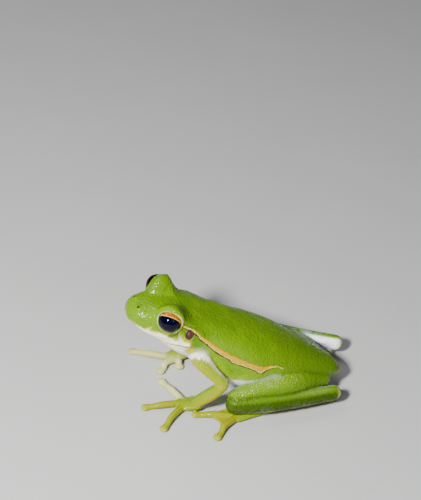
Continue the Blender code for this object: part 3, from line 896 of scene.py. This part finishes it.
def shade_and_speck_marks(marks, v, crease_shade):
    """Painted shade in the nostrils and in the creases round the eyes, and the real dark specks."""
    nostril = np.zeros(len(v))
    for word in SIDES:
        hole = mark_place(NOSTRIL_PLACE, NOSTRIL_ANGLE, word)
        nostril = np.maximum(nostril, bump(np.linalg.norm(v - hole, axis=1), 0.24))
    spots = np.zeros(len(v))
    for place, turned in SPOTS:
        for word in SIDES:
            d = np.linalg.norm(v - mark_place(place, turned, word), axis=1)
            spots = np.maximum(spots, bump(d, 0.22) * 0.7)
    # Painted shade in the nostril holes and the eye creases, together with the specks' own dark colour.
    marks.dark = np.clip(nostril * 2.2 + crease_shade * 0.85 + spots, 0, 1)


# The way backward and up, which the white of the arms and the ridge of the shanks face. A painted
# highlight runs along that ridge.
REAR_TOP = np.array((0.72, 0.0, 0.69))


def arm_marks(marks, weight, along, normal, side):
    """Arms: white behind, yellow in front and below, green on top, and the point of the elbow."""
    outward = normal[:, 1] * side
    upper = normal[:, 2]
    rear_top = normal @ REAR_TOP
    front = -normal[:, 0] * 0.8 - upper * 0.3
    arm, forearm = weight["arm"], weight["forearm"]
    marks.arm = np.clip(arm + forearm + weight["hand"], 0, 1)
    reach = np.interp(along["arm"], (0.0, 0.3, 0.42, 0.6, 1.0), (-1.3, -0.75, 0.55, 0.92, 1.0))
    marks.arm_white = arm * ramp(-0.16, 0.16, rear_top - reach) * ramp(1.0, 0.85, along["arm"])
    marks.arm_white += arm * ramp(0.15, -0.35, outward)
    marks.arm_green = forearm * ramp(0.35, 0.8, upper) + weight["hand"] * 0.3 * (upper > 0.3)
    marks.arm_yellow = arm * ramp(0.1, 0.6, front) + forearm * ramp(0.3, -0.3, upper)
    bend = arm * ramp(0.8, 1.0, along["arm"]) + forearm * ramp(0.4, 0.0, along["forearm"])
    marks.elbow = bend * ramp(0.45, 0.8, normal[:, 0])


def leg_marks(marks, weight, along, normal, side):
    """Thighs and shanks, with their pale inner sides, edges, blotches and heels, painted shade low on
    their inner sides, painted glints on the thighs and by the knees, and a painted highlight along the
    shanks' ridge.
    """
    outward = normal[:, 1] * side
    upper = normal[:, 2]
    rear_top = normal @ REAR_TOP
    shank = weight["shank"]
    leg = weight["thigh"] + shank
    marks.leg = leg
    marks.leg_low = shank * ramp(0.95, 0.5, upper)
    brim = np.where(side < 0, -0.5, -0.42)
    marks.leg_inner = leg * ramp(0.1, -0.1, outward - brim)
    marks.leg_edge = shank * within(outward, brim - 0.1, brim + 0.16, 0.09) * (upper > 0) * (side < 0)
    blocks = np.sin(75 * along["shank"] + 3 * np.sin(23 * along["shank"]))
    marks.leg_blue = shank * (side > 0) * (outward < 0.2) * ramp(0.0, 0.5, blocks)
    marks.leg_blue *= ramp(0.92, 0.8, along["shank"])
    marks.leg_foot = shank * ramp(-0.66, -0.8, upper)
    # Painted shade: a pale purple tint low on the white inner side of each shank, as white skin looks in
    # shade.
    marks.lavender = shank * ramp(-0.3, -0.6, outward) * within(upper, -0.6, 0.35, 0.12)
    marks.lavender *= within(along["shank"], 0.3, 0.95, 0.06)
    marks.heel = shank * ramp(0.955, 1.0, along["shank"]) * ramp(0.3, 0.7, normal[:, 0])
    # Painted glints on the granules of the thigh's top, and by the knee at the start of the shank.
    bloom = weight["thigh"] * within(along["thigh"], 0.28, 1.2, 0.15) * ramp(0.25, 0.85, upper)
    marks.bloom = np.clip(bloom + 0.6 * shank * ramp(0.16, 0.0, along["shank"]), 0, 1)
    marks.groin = weight["thigh"] * within(along["thigh"], 0.1, 0.62, 0.12)
    marks.groin *= ramp(0.25, -0.15, outward)
    # A painted highlight along the top ridge of each shank.
    marks.ridge = shank * bump(rear_top - 0.9, 0.12) * within(along["shank"], 0.06, 0.94, 0.05)


def paint_skin(mesh, v, smooth_v, normal, edges):
    """The skin's markings as formulas of the place on the frog, with painted shade, painted glints and a
    painted highlight among them.
    """
    everywhere = np.ones(len(v))
    normal = unit(relaxed(normal, edges, everywhere, 8))
    s, angle, out = body_map(smooth_v)
    weight, along, side, inner_digit = limb_map(smooth_v)
    body, thigh, digit = (weight[name] for name in ("body", "thigh", "digit"))
    under = on_body(s, angle, out)
    marks = SimpleNamespace()
    eye_near, behind_eye, crease_shade = eye_marks(marks, v)
    to_foot = stripe_marks(marks, s, angle, out, under, body, eye_near)
    gape, chin_line = lip_marks(marks, v, s, angle, under, body, behind_eye)
    body_marks(marks, s, angle, body, gape, to_foot, normal)
    shade_and_speck_marks(marks, smooth_v, crease_shade)
    arm_marks(marks, weight, along, normal, side)
    leg_marks(marks, weight, along, normal, side)
    # Painted shade where the thigh meets the shank and where the thigh and the arm meet the body, on the
    # near side, and along the line where the chin folds.
    folds = thigh * weight["shank"] + 0.8 * body * thigh + 0.7 * body * weight["arm"]
    marks.fold = np.clip(4 * folds, 0, 1) ** 1.6 * (side < 0) + 0.4 * chin_line
    marks.foot = weight["foot"]
    marks.digit = digit
    marks.pale_digit = digit * np.clip(inner_digit + 0.7 * (smooth_v[:, 0] < -9) * (side > 0), 0, 1)
    marks.pad = digit * ramp(0.66, 0.85, along["digit"])
    marks.under = ramp(-0.45, -0.8, normal[:, 2]) * (1 - body)
    calm = marks.lip + marks.lid + digit + 0.6 * weight["hand"] + marks.belly
    marks.smooth = np.clip(calm, 0, 1)
    sharp = ("lid", "lid_low", "mouth", "lip", "lip_edge", "dark")
    sharp += ("stripe_foot", "stripe_top", "stripe_line")
    for rounds, chosen in ((1, sharp), (7, [name for name in vars(marks) if name not in sharp])):
        table = relaxed(np.stack([getattr(marks, name) for name in chosen], 1), edges, everywhere, rounds)
        for name, values in zip(chosen, table.T):
            paint(mesh, name, values)


def make_skin():
    skin = rough_skin()
    smooth_v, edges = draw_onto_surface(skin)
    normal = coordinates(skin.data, "normal")
    v = with_lids(shape_details(smooth_v, normal))
    v[:, 2] = np.maximum(v[:, 2], 0.0)
    set_coordinates(skin.data, v)
    paint_skin(skin.data, v, smooth_v, normal, edges)
    return shade_smooth(skin)


def dome(name, centre, look, ahead, radius_at, rings=40, spokes=96, reach=math.pi):
    """A closed round form about an axis, whose radius is a function of the angle from it."""
    above = np.cross(look, ahead)
    bm = bmesh.new()
    turn = np.arange(spokes) * math.tau / spokes
    loops = []
    for a in np.linspace(0.004, reach - 0.004, rings):
        r = radius_at(a)
        ring = centre + look * r * math.cos(a)
        ring = ring + r * math.sin(a) * (np.outer(np.cos(turn), ahead) + np.outer(np.sin(turn), above))
        loops.append([bm.verts.new(p) for p in ring])
    bridge(bm, loops)
    bmesh.ops.recalc_face_normals(bm, faces=bm.faces)
    return shade_smooth(linked(name, bm))


def make_eye(word):
    """An eyeball with a bulging cornea; the iris is drawn by the place across the gaze."""
    centre, look, ahead, above = EYES[word]

    def radius(a):
        return EYE_RADIUS + 0.06 * math.exp(-((a / 0.75) ** 4)) - 0.04

    rings = 90
    eye = dome(f"eyeball_{word}", centre, look, ahead, radius, rings, 128)
    q = coordinates(eye.data) - centre
    paint(eye.data, "ahead", q @ ahead)
    paint(eye.data, "above", q @ above)
    lean = math.radians(PUPIL_LEAN)
    x, y = q @ ahead - PUPIL_CENTRE[0], q @ above - PUPIL_CENTRE[1]
    long, high = x * math.cos(lean) + y * math.sin(lean), y * math.cos(lean) - x * math.sin(lean)
    oval = np.hypot(long / PUPIL_SIZE[0], high / PUPIL_SIZE[1])
    paint(eye.data, "pupil", np.where(q @ look > 0, oval, 3.0))
    # The dark ring round the iris; on the right eye, painted dark over the outer iris, standing in for
    # the cornea seen edge-on.
    edge = IRIS_EDGE[word]
    paint(eye.data, "limbus", ramp(edge, edge + 0.08, np.hypot(q @ ahead, q @ above)))
    return eye


# The eardrum's section from the middle of its back, over the edge, to the middle of its face.
DRUM_SECTION = (
    (0.02, -0.42), (0.7, -0.42), (0.98, -0.36), (1.02, -0.2), (0.95, -0.11), (0.86, -0.13),
    (0.7, -0.16), (0.5, -0.16), (0.32, -0.12), (0.18, -0.09), (0.08, -0.08), (0.02, -0.08),
)
DRUM_OVAL = 0.84


def make_drum(word):
    """An eardrum: a thin oval membrane, a little dished, with a raised middle, in its ring of skin."""
    turned = sided(EAR_ANGLE, word)
    centre = BODY.point(EAR_PLACE, turned)[0]
    middle, along, _, _ = head_axes(EAR_PLACE)
    look = BODY.normal(EAR_PLACE, turned)
    if look @ (centre - middle) < 0:
        look = -look
    ahead = unit(along - look * (along @ look))
    above = np.cross(look, ahead)
    bm = bmesh.new()
    turn = np.arange(72) * math.tau / 72
    loops = []
    for r, high in DRUM_SECTION:
        oval = np.outer(np.cos(turn) * DRUM_OVAL, ahead) + np.outer(np.sin(turn), above)
        loops.append([bm.verts.new(p) for p in centre + look * high + r * oval])
    bridge(bm, loops)
    bmesh.ops.recalc_face_normals(bm, faces=bm.faces)
    drum = linked(f"drum_{word}", bm)
    q = coordinates(drum.data) - centre
    paint(drum.data, "across", np.sqrt((q @ ahead / DRUM_OVAL) ** 2 + (q @ above) ** 2))
    return shade_smooth(drum)


# How much brighter the lamps are than the colours' scale takes them to be. Only the whites keep
# all of it.
LIGHT = 1.45
WHITES = ("leg_inner", "arm_white", "belly", "lip", "groin", "pale_digit")


class Nodes:
    """Shorthand for building a node tree."""

    def __init__(self, tree):
        self.tree = tree

    def make(self, kind, **values):
        node = self.tree.nodes.new(kind)
        for name, value in values.items():
            setattr(node, name, value)
        return node

    def set(self, node, **values):
        """Constant values for a node's own sockets, with _ for each space in their names."""
        for name, value in values.items():
            node.inputs[name.replace("_", " ")].default_value = value

    def feed(self, socket, value):
        if isinstance(value, bpy.types.NodeSocket):
            self.tree.links.new(value, socket)
        else:
            socket.default_value = value

    def attribute(self, name):
        return self.make("ShaderNodeAttribute", attribute_name=name).outputs["Fac"]

    def times(self, a, b, clamp=False):
        return self.math("MULTIPLY", a, b, clamp=clamp)

    def math(self, operation, *values, clamp=False):
        node = self.make("ShaderNodeMath", operation=operation, use_clamp=clamp)
        for socket, value in zip(node.inputs, values):
            self.feed(socket, value)
        return node.outputs[0]

    def step(self, value, low, high):
        """Zero below low, one above high and smooth between."""
        node = self.make("ShaderNodeMapRange", interpolation_type="SMOOTHSTEP")
        self.feed(node.inputs["Value"], value)
        self.set(node, From_Min=low, From_Max=high)
        return node.outputs[0]

    def mix(self, share, a, b):
        node = self.make("ShaderNodeMix", data_type="RGBA")
        self.feed(node.inputs[0], share)
        self.feed(node.inputs[6], a)
        self.feed(node.inputs[7], b)
        return node.outputs[2]

    def noise(self, place, scale, detail=3.0, roughness=0.5):
        node = self.make("ShaderNodeTexNoise")
        self.feed(node.inputs["Vector"], place)
        self.set(node, Scale=scale, Detail=detail, Roughness=roughness)
        return node.outputs["Fac"]

    def cells(self, place, scale, feature="SMOOTH_F1"):
        """Round cells: the distance from their middles, or a colour of chance for each."""
        node = self.make("ShaderNodeTexVoronoi", feature=feature)
        self.feed(node.inputs["Vector"], place)
        self.set(node, Scale=scale)
        if feature == "F1":
            return node.outputs["Color"]
        self.set(node, Smoothness=0.35)
        return node.outputs["Distance"]

    def place(self):
        return self.make("ShaderNodeTexCoord").outputs["Object"]

    def bumped(self, height, distance):
        node = self.make("ShaderNodeBump")
        self.set(node, Distance=distance, Strength=1.0)
        self.feed(node.inputs["Height"], height)
        return node.outputs["Normal"]


def colour(red, green, blue, share=1 / LIGHT):
    """A colour given in the screen's scale from 0 to 255, as the renderer's linear one. The share
    takes back what the lamps give beyond the scale's white."""
    def linear(c):
        c /= 255
        return share * (c / 12.92 if c <= 0.04045 else ((c + 0.055) / 1.055) ** 2.4)

    return (linear(red), linear(green), linear(blue), 1.0)


def granule_group():
    """Fine round granules of frog skin: their height, and where their tops are."""
    group = bpy.data.node_groups.new("granules", "ShaderNodeTree")
    group.interface.new_socket("Coarse", in_out="INPUT", socket_type="NodeSocketFloat")
    group.interface.new_socket("Height", in_out="OUTPUT", socket_type="NodeSocketFloat")
    group.interface.new_socket("Tops", in_out="OUTPUT", socket_type="NodeSocketFloat")
    n = Nodes(group)
    source = n.make("NodeGroupInput")
    sink = n.make("NodeGroupOutput")
    place = n.place()
    fine = n.cells(place, 3400)
    large = n.cells(place, 1700)
    uneven = n.noise(place, 900, 2)
    fine_height = n.math("SUBTRACT", 0.75, fine)
    large_height = n.math("SUBTRACT", 0.75, large)
    share = n.times(source.outputs["Coarse"], large_height)
    height = n.math("ADD", n.times(fine_height, 0.5), share)
    height = n.math("ADD", height, n.times(uneven, 0.5))
    n.feed(sink.inputs["Height"], height)
    n.feed(sink.inputs["Tops"], n.step(fine, 0.42, 0.12))
    return group


def gloss_group():
    """How wet the skin is: a thin film with stronger sheen on scattered granules."""
    group = bpy.data.node_groups.new("gloss", "ShaderNodeTree")
    group.interface.new_socket("Wetness", in_out="OUTPUT", socket_type="NodeSocketFloat")
    n = Nodes(group)
    sink = n.make("NodeGroupOutput")
    place = n.place()
    chance = n.make("ShaderNodeSeparateColor")
    n.feed(chance.inputs[0], n.cells(place, 2700, "F1"))
    lucky = n.step(chance.outputs[0], 0.25, 0.7)
    film = n.step(n.noise(place, 420, 2), 0.35, 0.65)
    wet = n.times(lucky, n.math("ADD", n.times(film, 0.7), 0.3))
    n.feed(sink.inputs["Wetness"], n.math("ADD", n.times(wet, 0.85), 0.08, clamp=True))
    return group


def mottle_group():
    """Soft uneven tone, from 0 to 1, at two sizes."""
    group = bpy.data.node_groups.new("mottle", "ShaderNodeTree")
    group.interface.new_socket("Broad", in_out="OUTPUT", socket_type="NodeSocketFloat")
    group.interface.new_socket("Fine", in_out="OUTPUT", socket_type="NodeSocketFloat")
    n = Nodes(group)
    sink = n.make("NodeGroupOutput")
    place = n.place()
    n.feed(sink.inputs["Broad"], n.step(n.noise(place, 260, 3), 0.3, 0.7))
    n.feed(sink.inputs["Fine"], n.step(n.noise(place, 1300, 4, 0.6), 0.3, 0.7))
    return group


def new_material(name):
    material = bpy.data.materials.new(name)
    material.use_nodes = True
    n = Nodes(material.node_tree)
    return material, n, n.tree.nodes["Principled BSDF"]


# The colours of the skin, from the ground up: the mark, its strength, and two tones that vary
# finely.
GREENS = (
    ("snout", 0.5, (122, 163, 0), (137, 178, 0)),
    ("rump", 0.6, (85, 124, 0), (100, 139, 0)),
    ("flank", 0.75, (119, 163, 0), (139, 182, 0)),
    ("flank_edge", 0.7, (158, 191, 0), (191, 210, 27)),
    ("arm", 1.0, (146, 168, 0), (170, 180, 0)),
    ("arm_green", 0.85, (108, 146, 0), (128, 162, 0)),
    ("arm_yellow", 0.9, (188, 180, 0), (204, 190, 0)),
    ("leg", 1.0, (102, 145, 0), (120, 158, 0)),
    # Painted glints on the granule tops of the thighs and knees.
    ("bloom", 0.8, (122, 158, 10), (216, 226, 166)),
    ("leg_low", 0.9, (52, 76, 0), (66, 92, 0)),
    ("leg_blue", 0.85, (120, 176, 150), (160, 200, 190)),
    ("foot", 1.0, (139, 165, 0), (172, 182, 0)),
    ("digit", 1.0, (158, 166, 0), (184, 178, 0)),
    ("under", 0.4, (204, 190, 60), (216, 204, 100)),
    ("pale_digit", 0.7, (214, 212, 150), (230, 228, 190)),
    ("pad", 0.5, (196, 190, 80), (212, 206, 120)),
    ("leg_edge", 0.75, (196, 206, 120), (226, 228, 190)),
    ("leg_foot", 0.7, (150, 130, 60), (176, 150, 90)),
    ("leg_inner", 1.0, (240, 240, 236), (252, 252, 250)),
    ("groin", 0.9, (196, 206, 170), (232, 236, 226)),
    # Painted shade on the white inner sides of the shanks.
    ("lavender", 0.8, (150, 120, 190), (206, 186, 226)),
    # Painted highlight along the top of the shanks.
    ("ridge", 0.8, (176, 200, 120), (222, 232, 206)),
    ("heel", 0.8, (226, 210, 130), (236, 226, 170)),
    ("arm_white", 1.0, (240, 238, 222), (252, 250, 244)),
    ("elbow", 0.8, (226, 196, 120), (240, 220, 170)),
    ("belly", 1.0, (214, 218, 206), (250, 250, 246)),
    ("jaw", 0.8, (214, 206, 20), (240, 234, 160)),
    ("lip_edge", 0.85, (206, 206, 0), (224, 220, 30)),
    ("lip", 0.95, (250, 246, 214), (252, 250, 236)),
    ("lid", 1.0, (206, 210, 96), (236, 236, 170)),
    ("lid_low", 0.9, (96, 104, 0), (120, 124, 20)),
    # Painted shade in the folds between parts and under the chin.
    ("fold", 0.62, (52, 78, 0), (66, 94, 0)),
    ("mouth", 0.85, (112, 100, 0), (140, 124, 0)),
    ("vent", 0.6, (196, 180, 60), (216, 200, 110)),
)


def skin_material(granules, mottle, gloss):
    material, n, shader = new_material("wet_skin")
    film = n.make("ShaderNodeGroup", node_tree=gloss)
    grains = n.make("ShaderNodeGroup", node_tree=granules)
    tone = n.make("ShaderNodeGroup", node_tree=mottle)
    broad, fine = tone.outputs["Broad"], tone.outputs["Fine"]
    tops = grains.outputs["Tops"]
    skin = n.mix(broad, colour(98, 141, 0), colour(113, 154, 0))
    skin = n.mix(n.times(tops, 0.22), skin, colour(160, 198, 0))
    for name, strength, low, high in GREENS:
        mark = n.times(n.attribute(name), strength, clamp=True)
        grain = fine if name in ("lid", "lip", "mouth", "leg_inner") else tops
        # The painted glints sit on the granules' tops.
        if name == "bloom":
            grain = n.step(tops, 0.3, 0.8)
        share = 1.0 if name in WHITES else 1 / LIGHT
        skin = n.mix(mark, skin, n.mix(grain, colour(*low, share), colour(*high, share)))
    wave = n.noise(n.place(), 1100, 2)
    wobble = n.times(n.math("SUBTRACT", wave, 0.5), 0.55)
    foot = n.math("ADD", n.attribute("stripe_foot"), wobble)
    top = n.math("ADD", n.attribute("stripe_top"), n.times(n.math("SUBTRACT", fine, 0.5), 0.16))
    # The dark line under the stripe: painted shade under its raised edge, together with the stripe's own
    # dark lower edge.
    line = n.times(n.step(foot, -0.3, -0.18), n.attribute("stripe_line"))
    line = n.times(line, n.step(foot, 0.1, 0.0))
    skin = n.mix(n.times(line, 0.9), skin, colour(46, 36, 4))
    band = n.times(n.step(foot, -0.03, 0.05), n.step(top, -0.05, 0.05))
    gold = n.mix(n.step(top, 0.02, 0.26), colour(184, 104, 0), colour(222, 182, 30))
    gold = n.mix(n.step(foot, 0.3, 0.08), gold, colour(242, 226, 130))
    skin = n.mix(band, skin, n.mix(n.times(fine, 0.5), gold, colour(200, 140, 0)))
    # Painted shade in the nostrils and eye creases, and the dark specks' own colour.
    skin = n.mix(n.times(n.attribute("dark"), 0.85), skin, colour(30, 36, 2))
    n.feed(shader.inputs["Base Color"], skin)
    calm = n.math("SUBTRACT", 1.0, n.times(n.attribute("smooth"), 0.7))
    relief = n.bumped(n.times(grains.outputs["Height"], calm), 0.0002)
    n.feed(shader.inputs["Normal"], relief)
    n.feed(shader.inputs["Coat Normal"], n.bumped(n.times(grains.outputs["Height"], calm), 0.00014))
    n.feed(shader.inputs["Coat Weight"], film.outputs["Wetness"])
    grains.inputs["Coarse"].default_value = 0.4
    n.set(shader, Roughness=0.42, Specular_IOR_Level=0.05, Coat_Roughness=0.08,
          Subsurface_Weight=0.05, Subsurface_Radius=(0.6, 0.8, 0.2), Subsurface_Scale=0.0006)
    return material


def eye_material(mottle):
    material, n, shader = new_material("eye")
    tone = n.make("ShaderNodeGroup", node_tree=mottle)
    ahead, above, pupil = n.attribute("ahead"), n.attribute("above"), n.attribute("pupil")
    fibres = n.noise(n.place(), 2600, 5, 0.7)
    iris = n.mix(n.step(fibres, 0.35, 0.65), colour(148, 78, 0), colour(200, 126, 0))
    iris = n.mix(n.step(n.math("ADD", above, n.times(ahead, 0.07)), 0.75, 0.2), iris, colour(66, 54, 10))
    rim = n.math("SUBTRACT", 1.0, n.step(n.math("ABSOLUTE", n.math("SUBTRACT", pupil, 1.04)), 0.0, 0.06))
    rim = n.times(rim, n.step(above, 0.2, 1.0))
    shade = n.mix(n.times(rim, 0.85), iris, colour(250, 220, 120))
    dark = n.mix(tone.outputs["Fine"], colour(0, 1, 20), colour(2, 4, 34))
    shade = n.mix(n.step(pupil, 1.02, 0.97), shade, dark)
    # Dark ring round the iris, and on the right eye painted dark standing in for the cornea seen edge-on.
    shade = n.mix(n.attribute("limbus"), shade, colour(14, 10, 2))
    n.feed(shader.inputs["Base Color"], shade)
    n.feed(shader.inputs["Normal"], n.bumped(n.times(fibres, 0.1), 0.00002))
    n.set(shader, Roughness=0.5, Specular_IOR_Level=0.0, Coat_Weight=1.0, Coat_IOR=1.28,
          Coat_Roughness=0.02)
    return material


def drum_material(granules):
    material, n, shader = new_material("eardrum")
    grains = n.make("ShaderNodeGroup", node_tree=granules)
    grains.inputs["Coarse"].default_value = 0.1
    across = n.attribute("across")
    shade = n.mix(n.step(across, 0.1, 0.6), colour(86, 42, 12), colour(66, 30, 4))
    shade = n.mix(n.step(across, 0.76, 0.95), shade, colour(44, 28, 4))
    shade = n.mix(n.times(grains.outputs["Tops"], 0.25), shade, colour(96, 52, 20))
    n.feed(shader.inputs["Base Color"], shade)
    n.feed(shader.inputs["Normal"], n.bumped(grains.outputs["Height"], 0.00005))
    n.set(shader, Roughness=0.4, Coat_Weight=0.3, Coat_Roughness=0.2)
    return material


def floor_material():
    material, n, shader = new_material("pale_floor")
    place = n.place()
    shade = n.mix(n.noise(place, 40, 4), (0.44, 0.44, 0.43, 1), (0.48, 0.48, 0.47, 1))
    n.feed(shader.inputs["Base Color"], shade)
    n.feed(shader.inputs["Normal"], n.bumped(n.noise(place, 900, 5), 0.00003))
    n.set(shader, Roughness=0.8)
    return material


def settle(made):
    """Moves a piece from the working millimetres to the frame's place and metres."""
    set_coordinates(made.data, (coordinates(made.data) - MIDDLE) * MM)


def in_frame(point):
    return Vector((np.asarray(point) - MIDDLE) * MM)


def make_floor():
    bm = bmesh.new()
    steps = np.linspace(-0.6, 0.6, 13)
    grid = [[bm.verts.new((x, y, -0.00002)) for x in steps] for y in steps]
    for a, b in zip(grid, grid[1:]):
        for k in range(12):
            bm.faces.new((a[k], a[k + 1], b[k + 1], b[k]))
    floor = linked("floor", bm)
    floor.data.materials.append(floor_material())


# The camera: where it looks from, the picture's turn, and its scale at the floor under the frog.
CAMERA_AZIMUTH = -8.0
CAMERA_ELEVATION = 35.0
CAMERA_ROLL = 5.0
CAMERA_DISTANCE = 300.0
PIXELS_PER_MM = 5.1
PICTURE = (421, 500)
ORIGIN_PIXEL = (235, 385)
SENSOR = 36.0


def camera_axes():
    a, e, r = (math.radians(x) for x in (CAMERA_AZIMUTH, CAMERA_ELEVATION, CAMERA_ROLL))
    back = np.array((math.sin(a) * math.cos(e), -math.cos(a) * math.cos(e), math.sin(e)))
    level = np.array((math.cos(a), math.sin(a), 0.0))
    upright = np.cross(back, level)
    right = level * math.cos(r) + upright * math.sin(r)
    up = upright * math.cos(r) - level * math.sin(r)
    focus = PIXELS_PER_MM * CAMERA_DISTANCE
    u = (ORIGIN_PIXEL[0] - PICTURE[0] / 2) / focus
    w = (ORIGIN_PIXEL[1] - PICTURE[1] / 2) / focus
    place = -(right * u - up * w - back) * CAMERA_DISTANCE
    return place, right, up, back, focus


def make_camera():
    place, right, up, back, focus = camera_axes()
    data = bpy.data.cameras.new("camera")
    data.sensor_width = SENSOR
    data.lens = focus * SENSOR / max(PICTURE)
    data.clip_start = 0.01
    data.clip_end = 10.0
    camera = bpy.data.objects.new("camera", data)
    turn = Matrix([Vector(right), Vector(up), Vector(back)]).transposed().to_4x4()
    camera.matrix_world = Matrix.Translation(in_frame(place)) @ turn
    bpy.context.scene.collection.objects.link(camera)
    bpy.context.scene.camera = camera


def area_light(name, place, aim, size, watts, tint=(1.0, 1.0, 1.0)):
    """A square lamp at a place and aimed at another, both in the working millimetres."""
    data = bpy.data.lights.new(name, "AREA")
    data.shape = "DISK"
    data.size = size * MM
    data.energy = watts
    data.color = tint
    lamp = bpy.data.objects.new(name, data)
    lamp.location = in_frame(place)
    lamp.rotation_mode = "QUATERNION"
    lamp.rotation_quaternion = (in_frame(aim) - in_frame(place)).to_track_quat("-Z", "Y")
    bpy.context.scene.collection.objects.link(lamp)


def make_lights():
    _, right, up, back, _ = camera_axes()
    heart = np.array((-3.0, 0.0, 10.0))
    area_light("key", heart + back * 250 + up * 45 - right * 90, heart, 38, 1.3 * LIGHT)
    area_light("fill_high", heart + (-120, 120, 330), heart, 240, 0.3 * LIGHT, (0.94, 0.97, 1.0))
    area_light("fill_near", heart + (160, -260, 190), heart, 160, 0.06 * LIGHT)
    world = bpy.data.worlds.new("soft_room")
    world.use_nodes = True
    world.node_tree.nodes["Background"].inputs["Color"].default_value = (0.8, 0.84, 0.88, 1)
    world.node_tree.nodes["Background"].inputs["Strength"].default_value = 0.09
    bpy.context.scene.world = world


granules = granule_group()
mottle = mottle_group()
skin = make_skin()
settle(skin)
skin.data.materials.append(skin_material(granules, mottle, gloss_group()))
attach(skin, "root")
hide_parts(*[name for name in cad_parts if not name.startswith(("eye_", "ear_"))])
iris = eye_material(mottle)
membrane = drum_material(granules)
for word in SIDES:
    eye = make_eye(word)
    settle(eye)
    eye.data.materials.append(iris)
    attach(eye, "root")
    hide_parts(f"eye_{word}")
    drum = make_drum(word)
    settle(drum)
    drum.data.materials.append(membrane)
    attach(drum, "root")
    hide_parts(f"ear_{word}")
make_floor()
make_camera()
make_lights()
